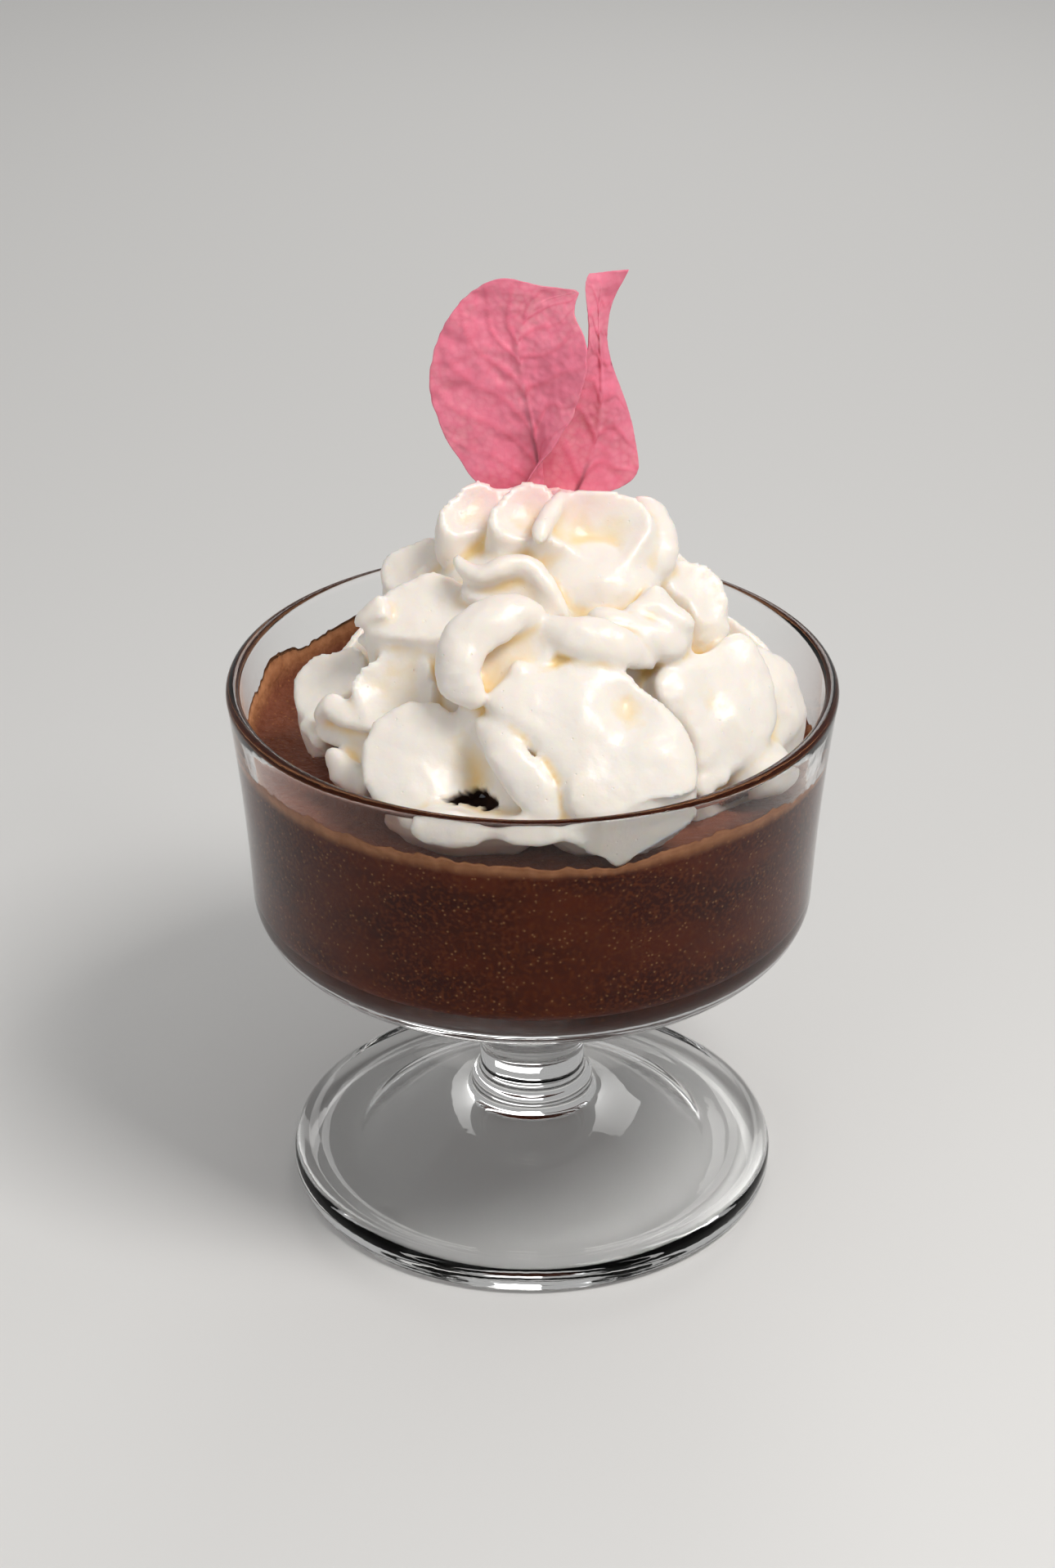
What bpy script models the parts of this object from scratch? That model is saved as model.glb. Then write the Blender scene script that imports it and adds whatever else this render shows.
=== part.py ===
"""Chocolate mousse in a footed glass, topped with whipped cream and two bougainvillea bracts.

Metres, +Z up, origin at the middle of the foot's underside. -Y is the side that is served.
Each separate piece is one closed solid: the glass, the mousse that fills it, the cream on the
mousse, and the two pink bracts that stand in the cream.
"""
from math import atan2, cos, degrees, hypot, pi, radians, sin

import bmesh
import bpy
import numpy as np

MM = 0.001

# Glass: a turned bowl on a stem and a disc foot
RIM_RADIUS = 50.0 * MM
RIM_HEIGHT = 94.0 * MM
LIP = 2.3 * MM                # thickness of the rounded rim
BOWL_RADIUS = 47.0 * MM       # outer radius low on the bowl
BOWL_BOTTOM = 49.0 * MM       # underside of the bowl
BOWL_CORNER = 8.0 * MM        # outer radius where wall meets underside
BOWL_WALL = 2.6 * MM
BOWL_BASE = 4.0 * MM          # thickness of glass under the mousse
STEM_RADIUS = 9.0 * MM
FOOT_RADIUS = 41.7 * MM
FOOT_EDGE = 5.4 * MM          # height of the foot's raised ring
FOOT_CREST = 13.2 * MM        # height of the foot where the stem stands on it
STAND_RING = 31.0 * MM        # inner radius of the flat ring that the foot stands on
FOOT_HOLLOW = 9.0 * MM        # height of the domed hollow inside that ring
TURNS = 40                    # sides of every turned piece

# Mousse
GAP = 0.3 * MM                # kept between touching pieces
LEVEL = RIM_HEIGHT - 11.8 * MM
SMEAR_WIDTH = 5.0 * MM        # how far in from the wall the mousse starts to climb
# How far below the rim the mousse ends on the wall, by compass direction in degrees
SMEAR = ((-170, 8.8), (-145, 8.2), (-110, 8.2), (-75, 9.3), (-57, 7.7), (-40, 8.6), (-22, 10.2),
         (-5, 11.6), (15, 11.4), (28, 10.4), (40, 8.0), (75, 7.2), (110, 7.0), (130, 6.2), (146, 7.7),
         (158, 5.2), (168, 7.4))

# Whipped cream
CREAM_VOXEL = 1.3 * MM        # size at which the lobes are fused
CREAM_FACES = 3300            # triangles it is thinned to

# Bracts
BRACT_THICK = 0.6 * MM


# ---------------------------------------------------------------- general helpers

def clear_scene():
    for old in list(bpy.data.objects):
        bpy.data.objects.remove(old)


def material(name, colour, roughness, transmission=0.0):
    """One Principled material"""
    made = bpy.data.materials.new(name)
    made.use_nodes = True
    shader = made.node_tree.nodes["Principled BSDF"]
    shader.inputs["Base Color"].default_value = (*colour, 1.0)
    shader.inputs["Roughness"].default_value = roughness
    shader.inputs["Metallic"].default_value = 0.0
    shader.inputs["Transmission Weight"].default_value = transmission
    return made


def add_object(name, mesh, finish):
    """Link a mesh as a named object, smooth but for its sharp corners"""
    mesh.materials.clear()
    mesh.materials.append(finish)
    mesh.shade_smooth()
    mesh.set_sharp_from_angle(angle=radians(40))
    made = bpy.data.objects.new(name, mesh)
    bpy.context.scene.collection.objects.link(made)
    return made


def mesh_from(bm, name):
    mesh = bpy.data.meshes.new(name)
    bm.to_mesh(mesh)
    bm.free()
    return mesh


def arc(centre, radius, start, end, steps):
    """Points (r, z) on an arc, angles in degrees from +r towards +z"""
    points = []
    for i in range(steps + 1):
        angle = radians(start + (end - start) * i / steps)
        points.append((centre[0] + radius * cos(angle), centre[1] + radius * sin(angle)))
    return points


def curve(start, handle, end, steps):
    """Points (r, z) on a quadratic curve"""
    points = []
    for i in range(steps + 1):
        t = i / steps
        a, b, c = (1 - t) ** 2, 2 * t * (1 - t), t * t
        points.append(tuple(a * start[k] + b * handle[k] + c * end[k] for k in (0, 1)))
    return points


def turn(profile):
    """Spin a closed outline of (r, z) points, which begins and ends on the axis, round Z"""
    bm = bmesh.new()
    verts = [bm.verts.new((r, 0.0, z)) for r, z in profile]
    edges = [bm.edges.new(pair) for pair in zip(verts, verts[1:])]
    bmesh.ops.spin(bm, geom=verts + edges, cent=(0, 0, 0), axis=(0, 0, 1), angle=2 * pi,
                   steps=TURNS, use_merge=True)
    bmesh.ops.remove_doubles(bm, verts=bm.verts, dist=0.005 * MM)
    bmesh.ops.recalc_face_normals(bm, faces=bm.faces)
    return bm


# ---------------------------------------------------------------- glass

WALL_TOP = RIM_HEIGHT - LIP / 2
CORNER_Z = BOWL_BOTTOM + BOWL_CORNER
INNER_CORNER = BOWL_CORNER - BOWL_WALL
INNER_BOTTOM = BOWL_BOTTOM + BOWL_BASE
CORNER_R = BOWL_RADIUS - BOWL_CORNER


def outer_wall():
    """Bowl outside, rim down to the corner: it flares a little towards the rim"""
    return curve((RIM_RADIUS, WALL_TOP), (BOWL_RADIUS + 0.7 * MM, RIM_HEIGHT - 19.2 * MM),
                 (BOWL_RADIUS, CORNER_Z), 5)


def inner_wall():
    """Bowl inside, rim down to the corner"""
    return curve((RIM_RADIUS - LIP, WALL_TOP), (BOWL_RADIUS - BOWL_WALL + 0.8 * MM, RIM_HEIGHT - 19.2 * MM),
                 (BOWL_RADIUS - BOWL_WALL, INNER_BOTTOM + INNER_CORNER), 5)


def inner_radius(z):
    """Radius of the bowl's inside at a height"""
    wall = inner_wall()[::-1]
    if z <= wall[0][1]:
        return wall[0][0]
    for (r0, z0), (r1, z1) in zip(wall, wall[1:]):
        if z <= z1:
            return r0 + (r1 - r0) * (z - z0) / (z1 - z0)
    return wall[-1][0]


def glass_profile():
    """Outline from the hollow under the foot, up the outside, over the rim and down the inside"""
    foot = curve((0.0, FOOT_HOLLOW), (STAND_RING / 2, FOOT_HOLLOW), (STAND_RING, 0.0), 4)
    foot += arc((FOOT_RADIUS - 1.6 * MM, 1.6 * MM), 1.6 * MM, -90, 0, 3)
    foot += arc((FOOT_RADIUS - 2.4 * MM, FOOT_EDGE - 2.4 * MM), 2.4 * MM, 0, 100, 5)
    foot += curve((FOOT_RADIUS - 4.6 * MM, FOOT_EDGE - 0.9 * MM),
                  (FOOT_RADIUS - 6.4 * MM, FOOT_EDGE - 1.6 * MM),
                  (FOOT_RADIUS - 9.0 * MM, FOOT_EDGE - 0.5 * MM), 2)
    foot += curve((FOOT_RADIUS - 9.0 * MM, FOOT_EDGE - 0.5 * MM), (20.0 * MM, FOOT_CREST - 3.6 * MM),
                  (13.4 * MM, FOOT_CREST), 4)[1:]
    stem = curve((11.6 * MM, FOOT_CREST + 0.9 * MM), (10.8 * MM, FOOT_CREST + 1.4 * MM),
                 (10.7 * MM, FOOT_CREST + 2.3 * MM), 2)
    stem += arc((STEM_RADIUS + 0.1 * MM, FOOT_CREST + 3.4 * MM), 1.4 * MM, -20, 70, 3)
    stem += [(STEM_RADIUS, FOOT_CREST + 6.4 * MM)]
    stem += arc((STEM_RADIUS + 4.0 * MM, BOWL_BOTTOM - 4.4 * MM), 4.0 * MM, 180, 97, 3)
    bowl = arc((CORNER_R, CORNER_Z), BOWL_CORNER, -90, 0, 6)
    bowl += outer_wall()[::-1][1:]
    bowl += arc((RIM_RADIUS - LIP / 2, WALL_TOP), LIP / 2, 0, 180, 6)[1:-1]
    bowl += inner_wall()
    bowl += arc((CORNER_R, INNER_BOTTOM + INNER_CORNER), INNER_CORNER, 0, -90, 5)[1:]
    return foot + stem + bowl + [(0.0, INNER_BOTTOM)]


def make_glass():
    finish = material("glass", (0.95, 0.97, 0.97), 0.03, transmission=1.0)
    add_object("glass", mesh_from(turn(glass_profile()), "glass"), finish)


# ---------------------------------------------------------------- mousse

def smear_height(azimuth):
    """Height of the mousse's edge on the wall, by compass direction in radians"""
    angle = degrees(azimuth) % 360
    stations = sorted((a % 360, below) for a, below in SMEAR)
    (first, low), (last, high) = stations[0], stations[-1]
    stations = [(last - 360, high)] + stations + [(first + 360, low)]
    for (a0, b0), (a1, b1) in zip(stations, stations[1:]):
        if a0 <= angle <= a1:
            t = (angle - a0) / (a1 - a0)
            t = t * t * (3 - 2 * t)
            return RIM_HEIGHT - (b0 + (b1 - b0) * t) * MM
    return LEVEL


def mousse_top(radius, azimuth):
    """Height of the mousse's top: level, and climbing as a thin collar near the wall"""
    edge = smear_height(azimuth)
    wall = inner_radius(edge) - GAP
    rise = max(0.0, 1.0 - (wall - radius) / SMEAR_WIDTH)
    return LEVEL + (edge - LEVEL) * min(1.0, rise * rise * 1.15)


def make_mousse():
    floor_z = INNER_BOTTOM + GAP
    profile = [(0.0, floor_z)]
    profile += arc((CORNER_R, INNER_BOTTOM + INNER_CORNER), INNER_CORNER - GAP, -90, 0, 5)
    wall = [(r - GAP, z) for r, z in inner_wall()[::-1][1:]]
    below = [point for point in wall if point[1] < LEVEL - 2 * MM]
    profile += below
    rim_r = inner_radius(LEVEL) - GAP
    profile += [(rim_r, LEVEL), (rim_r - 1.2 * MM, LEVEL), (rim_r - 3.0 * MM, LEVEL),
                (rim_r - SMEAR_WIDTH - 0.6 * MM, LEVEL), (0.5 * rim_r, LEVEL), (0.0, LEVEL)]
    bm = turn(profile)
    for v in bm.verts:
        if v.co.z < LEVEL - 1e-6:
            continue
        radius = hypot(v.co.x, v.co.y)
        azimuth = atan2(v.co.y, v.co.x)
        v.co.z = mousse_top(radius, azimuth)
        if radius > rim_r - 0.1 * MM:
            grow = (inner_radius(v.co.z) - GAP) / radius
            v.co.x *= grow
            v.co.y *= grow
    bmesh.ops.recalc_face_normals(bm, faces=bm.faces)
    add_object("mousse", mesh_from(bm, "mousse"), material("mousse", (0.07, 0.025, 0.012), 0.5))


# ---------------------------------------------------------------- whipped cream, sizes in millimetres

# Lobes round the back: compass direction, height, distance from the middle, size
BACK_SCOOPS = ((20, 96, 32, 17), (50, 97, 31, 16), (80, 95, 32, 17), (110, 98, 31, 16), (140, 96, 32, 17),
               (165, 97, 30, 15), (35, 109, 20, 14), (75, 110, 19, 13), (115, 109, 20, 13),
               (150, 111, 17, 13), (60, 119, 9, 11), (120, 119, 8, 11))
# Dimple in the crown where the bracts stand: middle, half sizes
WELL = ((3.0, 6.6, 127.6), (18.0, 7.4, 7.6))


def looking(azimuth, elevation):
    """Right, up and outward directions of a lobe; the angles, in degrees, may be arrays"""
    a, e = np.radians(azimuth), np.radians(elevation)
    outward = np.stack([np.cos(e) * np.cos(a), np.cos(e) * np.sin(a), np.sin(e)], -1)
    right = np.stack([-np.sin(a), np.cos(a), 0.0 * a], -1)
    return right, np.cross(outward, right), outward


def through(a, b, c, d, u):
    """From b to c as u goes from 0 to 1, on a smooth line that also knows its neighbours a and d"""
    bend = (2 * a - 5 * b + 4 * c - d) * u ** 2
    return 0.5 * (2 * b + (c - a) * u + bend + (3 * b - a - 3 * c + d) * u ** 3)


def smooth_line(points, t):
    """Points at places t, 0 to 1, on a smooth line through the given points"""
    points = np.array(points, float)
    last = len(points) - 1
    place = np.clip(t, 0, 1) * last
    i = np.minimum(place.astype(int), last - 1)
    a, b, c, d = (points[np.clip(k, 0, last)] for k in (i - 1, i, i + 1, i + 2))
    return through(a, b, c, d, (place - i)[:, None])


def smooth_ring(values, turn):
    """Values at turns, 0 to 1, on a smooth closed ring of evenly spaced values"""
    values = np.array(values, float)
    place = (turn % 1.0) * len(values)
    i = place.astype(int)
    a, b, c, d = (values[k % len(values)] for k in (i - 1, i, i + 1, i + 2))
    return through(a, b, c, d, place - i)


def eased(values, t):
    """Values at places t, 0 to 1, eased between the given ones"""
    place = np.clip(t, 0, 1) * (len(values) - 1)
    whole = np.floor(place)
    part = place - whole
    return np.interp(whole + part * part * (3 - 2 * part), np.arange(len(values)), values)


def unit_ball(around, along):
    """A ball of radius 1 in a mesh of its own, and its vertices' places as an array"""
    lobe = bmesh.new()
    bmesh.ops.create_uvsphere(lobe, u_segments=around, v_segments=along, radius=1.0)
    return lobe, np.array([v.co for v in lobe.verts])


def add_lobe(bm, lobe, places):
    """Move a lobe's vertices to their places and add it to the others"""
    for v, co in zip(lobe.verts, places):
        v.co = co
    mesh = bpy.data.meshes.new("lobe")
    lobe.to_mesh(mesh)
    lobe.free()
    bm.from_mesh(mesh)
    bpy.data.meshes.remove(mesh)


def ball(bm, middle, half):
    """A plain lump"""
    lobe, unit = unit_ball(32, 20)
    add_lobe(bm, lobe, np.array(middle) + unit * half)


def petal(bm, middle, looks, rim, hollow=1.0, belly=7.0, lip=0.9, fall=0.0, swell=0.0, dents=(),
          flutes=(0, 1), frill=(0, 0)):
    """A petal: a rounded lip round a shallow hollow, and a wall that falls away behind it"""
    lobe, unit = unit_ball(48, 24)
    angle = np.arctan2(unit[:, 1], unit[:, 0])
    rho = np.minimum(1.0, np.hypot(unit[:, 0], unit[:, 1]))
    reach = smooth_ring(rim, angle / (2 * pi))
    reach = reach * (1 + frill[1] * (np.sin(frill[0] * angle) + 0.6 * np.sin(1.7 * frill[0] * angle + 1.3)))
    right, up, outward = looking(*looks)
    zone = np.minimum(0.9, 2 * lip / reach)
    edge = np.maximum(0.0, (rho - 1.0 + zone) / zone)
    dish = 1.0 - rho ** 2
    x, y = reach * rho * np.cos(angle), reach * rho * np.sin(angle)
    height = lip * np.sqrt(np.maximum(0.0, 1.0 - edge ** 2)) - hollow * dish
    height += flutes[0] * dish * np.cos(2 * pi * x / flutes[1])
    for dx, dy, size, amount in dents:
        height -= amount * np.exp(-((x - dx) ** 2 + (y - dy) ** 2) / size ** 2) * np.minimum(1.0, 3 * dish)
    front = x[:, None] * right + y[:, None] * up + height[:, None] * outward
    down = np.minimum(1.0, (1.0 - rho) / 0.45)
    wide = reach * np.where(down < 1.0, 1.0 + swell * np.sin(pi * down), rho / 0.55)
    sink = (1.0 - fall) * -outward + fall * np.array((0.0, 0.0, -1.0))
    sink /= np.linalg.norm(sink)
    back = (wide * np.cos(angle))[:, None] * right + (wide * np.sin(angle))[:, None] * up
    back = back + (belly * down)[:, None] * sink
    add_lobe(bm, lobe, np.array(middle) + np.where(unit[:, 2:] >= 0, front, back))


def scoop(bm, middle, looks, size, hollow, belly, lip):
    """A petal with an even oval rim"""
    angles = [2 * pi * k / 12 for k in range(12)]
    rim = [1 / hypot(cos(a) * 2 / size[0], sin(a) * 2 / size[1]) for a in angles]
    petal(bm, middle, looks, rim, hollow, belly, lip)


def band(bm, path, looks, widths, depths, groove=0.0):
    """A rounded band of cream along a smooth line"""
    lobe, unit = unit_ball(14, 24)
    t = 0.5 + 0.5 * unit[:, 2]
    ring = np.sqrt(np.maximum(1e-9, 1.0 - unit[:, 2] ** 2))
    end = np.maximum(0.0, 1.0 - np.abs(unit[:, 2]) ** 3.2) ** 0.45
    ahead = smooth_line(path, t + 0.02) - smooth_line(path, t - 0.02)
    outward = looking(eased([look[0] for look in looks], t), eased([look[1] for look in looks], t))[2]
    side = np.cross(ahead, outward)
    side /= np.linalg.norm(side, axis=1, keepdims=True)
    outward = np.cross(side, ahead)
    outward /= np.linalg.norm(outward, axis=1, keepdims=True)
    across = unit[:, 0] / ring
    deep = eased(depths, t) / 2 * unit[:, 1] / ring + groove * across ** 2
    width = eased(widths, t) / 2 * end * across
    add_lobe(bm, lobe, smooth_line(path, t) + side * width[:, None] + outward * (end * deep)[:, None])


def cream_lobes():
    """All lobes as overlapping closed shells, in metres"""
    bm = bmesh.new()
    # core
    ball(bm, (2, -1, 84), (30, 29, 33))
    ball(bm, (2, -3, 106), (20, 17, 14))
    # A
    petal(bm, (-9.5, -1, 123.5), (-75, 46), (5.5, 5.5, 5, 4, 4, 5.5, 6, 4, 4, 4.5), hollow=1.8, belly=7,
          fall=0.75, swell=0.06, lip=0.9)
    # B
    petal(bm, (-1.5, -5, 124.5), (-78, 46), (5.5, 6, 5.5, 4.5, 4.5, 5.5, 5.5, 5, 5, 5), hollow=1.8,
          belly=6, fall=0.75, swell=0.06, lip=0.9)
    # C
    petal(bm, (9.5, -8.5, 123.5), (-84, 52), (9, 9.5, 8, 7, 7.5, 7.5, 7.5, 8.5, 6, 5, 5.5, 7, 7.5, 8),
          hollow=4.5, belly=9, fall=0.8, swell=0.13, lip=1)
    # C wall
    ball(bm, (9.5, -9, 114.5), (10.5, 8, 6.5))
    # C lip
    band(bm, ((5, -3, 127.5), (4, -5, 127), (2.5, -7.5, 125.5), (1.5, -10, 124.5), (1, -12.5, 123.5)),
         ((-110, 45), (-110, 45), (-110, 45), (-110, 45), (-110, 45)), (1.5, 2.5, 3, 3, 2.5), (1.5, 2.5, 3,
         3, 2.5))
    # ear
    band(bm, ((16.5, 1, 124.5), (19, -1.5, 123), (20, -4, 120.5), (20, -6.5, 118), (18.5, -9, 115)), ((-60,
         30), (-60, 30), (-60, 30), (-60, 30), (-60, 30)), (3.5, 5, 5.5, 5.5, 4), (3, 4, 5, 5, 4))
    # E
    petal(bm, (-2.5, -16, 117), (-98, 30), (5.5, 4, 4, 4, 4, 4, 4.5, 9, 6.5, 3.5, 3, 3.5, 7, 9.5),
          hollow=0.9, belly=8, fall=0.2, lip=1, dents=((6, -2, 4, -1.2),))
    # E crest
    band(bm, ((-12.5, -12.5, 120.5), (-10, -14.5, 119), (-7.5, -15.5, 119), (-5, -15.5, 120), (-2, -15,
         120.5), (0.5, -15.5, 119.5), (3, -17.5, 117), (5.5, -20, 113.5)), ((-95, 50), (-95, 50), (-95,
         50), (-95, 50), (-95, 50), (-95, 50), (-95, 50), (-95, 50)), (2.5, 3.5, 3.5, 3.5, 3.5, 3.5, 3.5,
         3), (3, 4, 4, 4, 4, 4, 4, 3))
    # F
    petal(bm, (16.5, -21, 111.5), (-76, 30), (7.5, 3.5, 3, 3, 4.5, 8.5, 5.5, 3, 2.5, 3, 4.5, 7.5),
          hollow=-1.2, belly=7, fall=0.2, lip=1.4)
    # F top
    petal(bm, (19, -18, 114), (-72, 58), (4.5, 4, 4.5, 3.5, 3.5, 5, 2.5, 2.5, 3.5, 6.5), hollow=-1,
          belly=8, fall=0.5, lip=1.3)
    # G
    petal(bm, (26, -7, 112), (-62, 40), (5, 5, 5, 5.5, 8, 6, 3, 2.5, 4, 6, 6, 5.5), hollow=1, belly=9,
          fall=0.8, swell=0.05, lip=0.8, frill=(9, 0.02))
    # G low
    petal(bm, (28.5, -8, 106.5), (-60, 25), (3, 2.5, 2.5, 3, 3.5, 3.5, 2.5, 3), hollow=-0.8, belly=7,
          lip=1.4)
    # D1
    petal(bm, (-19, 1, 112.5), (-120, 42), (6.5, 6, 6, 4.5, 4.5, 5.5, 6, 5.5, 5, 5.5), hollow=0.4, belly=9,
          fall=0.8, lip=0.9)
    # D2
    petal(bm, (-16, -14, 112), (-108, 46), (9.5, 9, 7, 6.5, 7, 6.5, 7.5, 9.5, 10.5, 7, 5.5, 5.5, 6, 6.5),
          hollow=0.2, belly=9, fall=0.7, swell=0.05, lip=0.9)
    # D tip
    band(bm, ((-28, -12, 109), (-26, -13, 111), (-23, -13.5, 113)), ((-110, 50), (-110, 50), (-110, 50)),
         (1.2, 3, 6), (1.0, 2.0, 3))
    # D flap
    petal(bm, (-24, -13, 106.5), (-112, 25), (5, 1, 1, 1.5, 4, 2, 2, 2.5), hollow=0.3, belly=7, lip=0.7)
    # H
    petal(bm, (-32.5, -9, 97.5), (-128, 46), (5.5, 6.5, 7, 7, 5, 5, 5.5, 6, 6.5, 7, 7.5, 5.5, 4.5, 4.5),
          hollow=0.9, belly=9, fall=0.6, swell=0.04, lip=1)
    # H lip
    band(bm, ((-34, -17.5, 93.5), (-33, -18, 96.5), (-31.5, -18.5, 97.5), (-29.5, -20, 97), (-27, -21.5,
         96.5), (-24, -24, 97)), ((-125, 50), (-125, 50), (-125, 50), (-125, 50), (-125, 50), (-125, 50)),
         (1.5, 3, 4.5, 4, 3, 2), (1.5, 2.5, 3.5, 3.5, 3, 2))
    # H2
    petal(bm, (-29, -20, 93), (-118, 20), (5.5, 3.5, 2, 2.5, 3.5, 6, 3, 2, 2.5, 5.5), hollow=0.6, belly=8,
          fall=0, lip=0.8)
    # H out
    petal(bm, (-35, -15, 91.5), (-130, 25), (1.5, 1, 1.5, 2.5, 3, 1.5, 1.5, 3), hollow=-0.3, belly=7,
          fall=0.3, lip=0.8)
    # H3
    petal(bm, (-29, -24, 89.5), (-118, 25), (3.5, 2, 1.5, 2, 4.5, 4, 3.5, 3, 3.5, 5), hollow=-0.4, belly=8,
          fall=0.4, lip=0.8, frill=(7, 0.03))
    # I
    petal(bm, (-21.5, -20, 102), (-103, 40), (6.5, 6, 7, 6, 6, 6, 7, 7, 6.5, 6, 6.5, 7), hollow=2.4,
          belly=9, fall=0.5, lip=0.7)
    # J
    petal(bm, (-16, -33, 94.5), (-103, 36), (13, 10.5, 9.5, 9, 10, 10.5, 11, 11, 10.5, 10, 9.5, 9, 10,
          12.5, 14, 18), hollow=0.2, belly=7, fall=0.3, lip=0.9, dents=((6.5, 0.5, 4.2, 3.4), (7.5, -2.2,
          2.6, 1.6), (3, 4.5, 5, 0.6)), frill=(13, 0.012))
    # K
    band(bm, ((2, -22, 114.5), (-1.5, -23, 116), (-5.5, -24.5, 116), (-9.5, -26.5, 114), (-11.5, -28.5,
         111), (-11, -30.5, 108), (-7.5, -32.5, 105)), ((-90, 50), (-95, 50), (-105, 45), (-120, 35),
         (-125, 25), (-115, 20), (-105, 20)), (4, 6, 8, 8, 8, 8, 6), (5, 5.5, 5, 5, 5, 5, 4))
    # K inside
    petal(bm, (-5, -26.5, 110.5), (-98, 36), (8, 9.5, 8, 6, 6, 6.5, 7.5, 8.5, 9, 5.5, 3, 3.5), hollow=1.8,
          belly=6, fall=0, lip=0.8)
    # N
    band(bm, ((0.5, -22, 114), (5, -25, 113.5), (9, -26.5, 113.5), (13.5, -26.5, 112), (19, -23, 107.5)),
         ((-90, 55), (-85, 50), (-80, 45), (-70, 40), (-60, 40)), (4, 6, 7, 6, 3), (5, 5, 5, 4.5, 3))
    # strip
    band(bm, ((-8.5, -31.5, 102), (-6, -35, 101.5), (-4, -38, 99.5), (-1.5, -40, 97), (1, -42, 94), (2,
         -44, 89.5)), ((-108, 36), (-108, 34), (-105, 28), (-100, 22), (-98, 15), (-95, 5)), (3.5, 5, 6,
         6.5, 7, 7), (3, 3.4, 3.4, 3.4, 3.4, 3))
    # L
    petal(bm, (10.5, -36, 101), (-88, 44), (13.5, 12, 11, 10.5, 11.5, 12.5, 13, 13, 14, 18, 17.5, 11.5,
          9.5, 9, 9.5, 12.5, 13.5, 14.5, 15, 16, 16, 15), hollow=-1, belly=5.5, fall=0.8, lip=1.8,
          dents=((4.5, 4.5, 4.5, 2.4), (8, -3, 3.5, -1.0), (-2, 1, 5.0, -0.8)))
    # L peak
    band(bm, ((-2.5, -27.5, 110.5), (-2, -29, 109), (-0.5, -29.5, 107), (2, -31, 104.5)), ((-95, 45), (-95,
         45), (-95, 45), (-95, 45)), (1.0, 4.0, 9, 14), (1.2, 2.6, 3.6, 4))
    # L roll
    band(bm, ((-5.5, -30.5, 105.5), (-2, -32, 104), (2, -33.5, 102), (6, -35.5, 98.5), (9, -38.5, 95),
         (10.5, -41.5, 90)), ((-112, 38), (-112, 38), (-108, 34), (-105, 28), (-100, 18), (-95, 8)), (5, 7,
         9, 10, 11, 11), (5, 6.5, 7.5, 7.5, 7, 6))
    # L body
    ball(bm, (10, -33.5, 91), (13, 9, 10))
    # M
    petal(bm, (35, -14, 94.5), (-48, 32), (11, 11.5, 11, 11, 11.5, 10, 10, 10.5, 13, 17, 12, 9.5, 8, 8, 9,
          11), hollow=-1.5, belly=9, fall=0.9, lip=1.5, flutes=(0.3, 6.0), dents=((0.5, -2.5, 2.6, 1.2),))
    # M wide
    petal(bm, (30, -21, 99), (-55, 34), (10, 11, 12.5, 9.5, 9.5, 12, 12.5, 9.5, 9.5, 13.5, 11, 10, 9.5,
          10), hollow=-1.2, belly=9, fall=0.2, lip=1, flutes=(0.35, 7.5), dents=((-3.5, 3, 3, 0.8),))
    # M wedge
    petal(bm, (26.5, -26.5, 94.5), (-58, 30), (3, 5, 4, 3.5, 2.5, 4, 3, 2), hollow=0.2, belly=8, fall=0.1,
          lip=0.8)
    # M foot
    petal(bm, (27.5, -30, 90.5), (-62, 20), (4, 2.5, 2, 2, 3, 3, 2, 2), hollow=-0.3, belly=7, fall=0.1,
          lip=0.8)
    ball(bm, (34, -20, 88), (7, 6.5, 4.5))
    # film
    petal(bm, (-6.5, -43, 89.5), (-97, 12), (11.5, 3, 1.5, 1.5, 1.5, 3, 12, 5.5, 2, 1.5, 1.5, 2.5),
          hollow=-0.2, belly=4, fall=0, lip=0.7)
    # drip
    petal(bm, (12.5, -43, 89.5), (-80, 12), (6.5, 6.5, 3, 2.5, 2, 2.5, 3, 6, 8.5, 5, 4, 4.5, 5.5, 5, 4,
          4.5), hollow=-0.3, belly=4, fall=0, lip=0.8)
    for i, (turned, z, out, size) in enumerate(BACK_SCOOPS):
        middle = (3 + out * cos(radians(turned)), 0.95 * out * sin(radians(turned)), z)
        scoop(bm, middle, (turned + 15 * (-1) ** i, 40), (size + 4, size), 1.5, 7, 0.9)
    bmesh.ops.scale(bm, vec=(MM, MM, MM), verts=bm.verts)
    return mesh_from(bm, "cream")


def largest_piece(mesh):
    """Keep only the outer skin, the connected piece with the most faces"""
    bm = bmesh.new()
    bm.from_mesh(mesh)
    left = set(bm.faces)
    pieces = []
    while left:
        piece = [left.pop()]
        for face in piece:
            for edge in face.edges:
                for other in edge.link_faces:
                    if other in left:
                        left.remove(other)
                        piece.append(other)
        pieces.append(piece)
    pieces.sort(key=len)
    inner = [face for piece in pieces[:-1] for face in piece]
    bmesh.ops.delete(bm, geom=inner, context="FACES")
    bm.to_mesh(mesh)
    bm.free()


def settle(mesh):
    """Rest the cream on the mousse and keep it inside the bowl"""
    for v in mesh.vertices:
        radius = hypot(v.co.x, v.co.y)
        if v.co.z < RIM_HEIGHT + 1 * MM:
            free = inner_radius(min(v.co.z, WALL_TOP)) - 0.5 * MM
            if radius > free:
                v.co.x *= free / radius
                v.co.y *= free / radius
                radius = free
        v.co.z = max(v.co.z, mousse_top(radius, atan2(v.co.y, v.co.x)) + GAP + 0.15 * MM)


def evaluated(made):
    """A mesh of an object with its modifiers worked out"""
    graph = bpy.context.evaluated_depsgraph_get()
    graph.update()
    return bpy.data.meshes.new_from_object(made.evaluated_get(graph))


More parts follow.
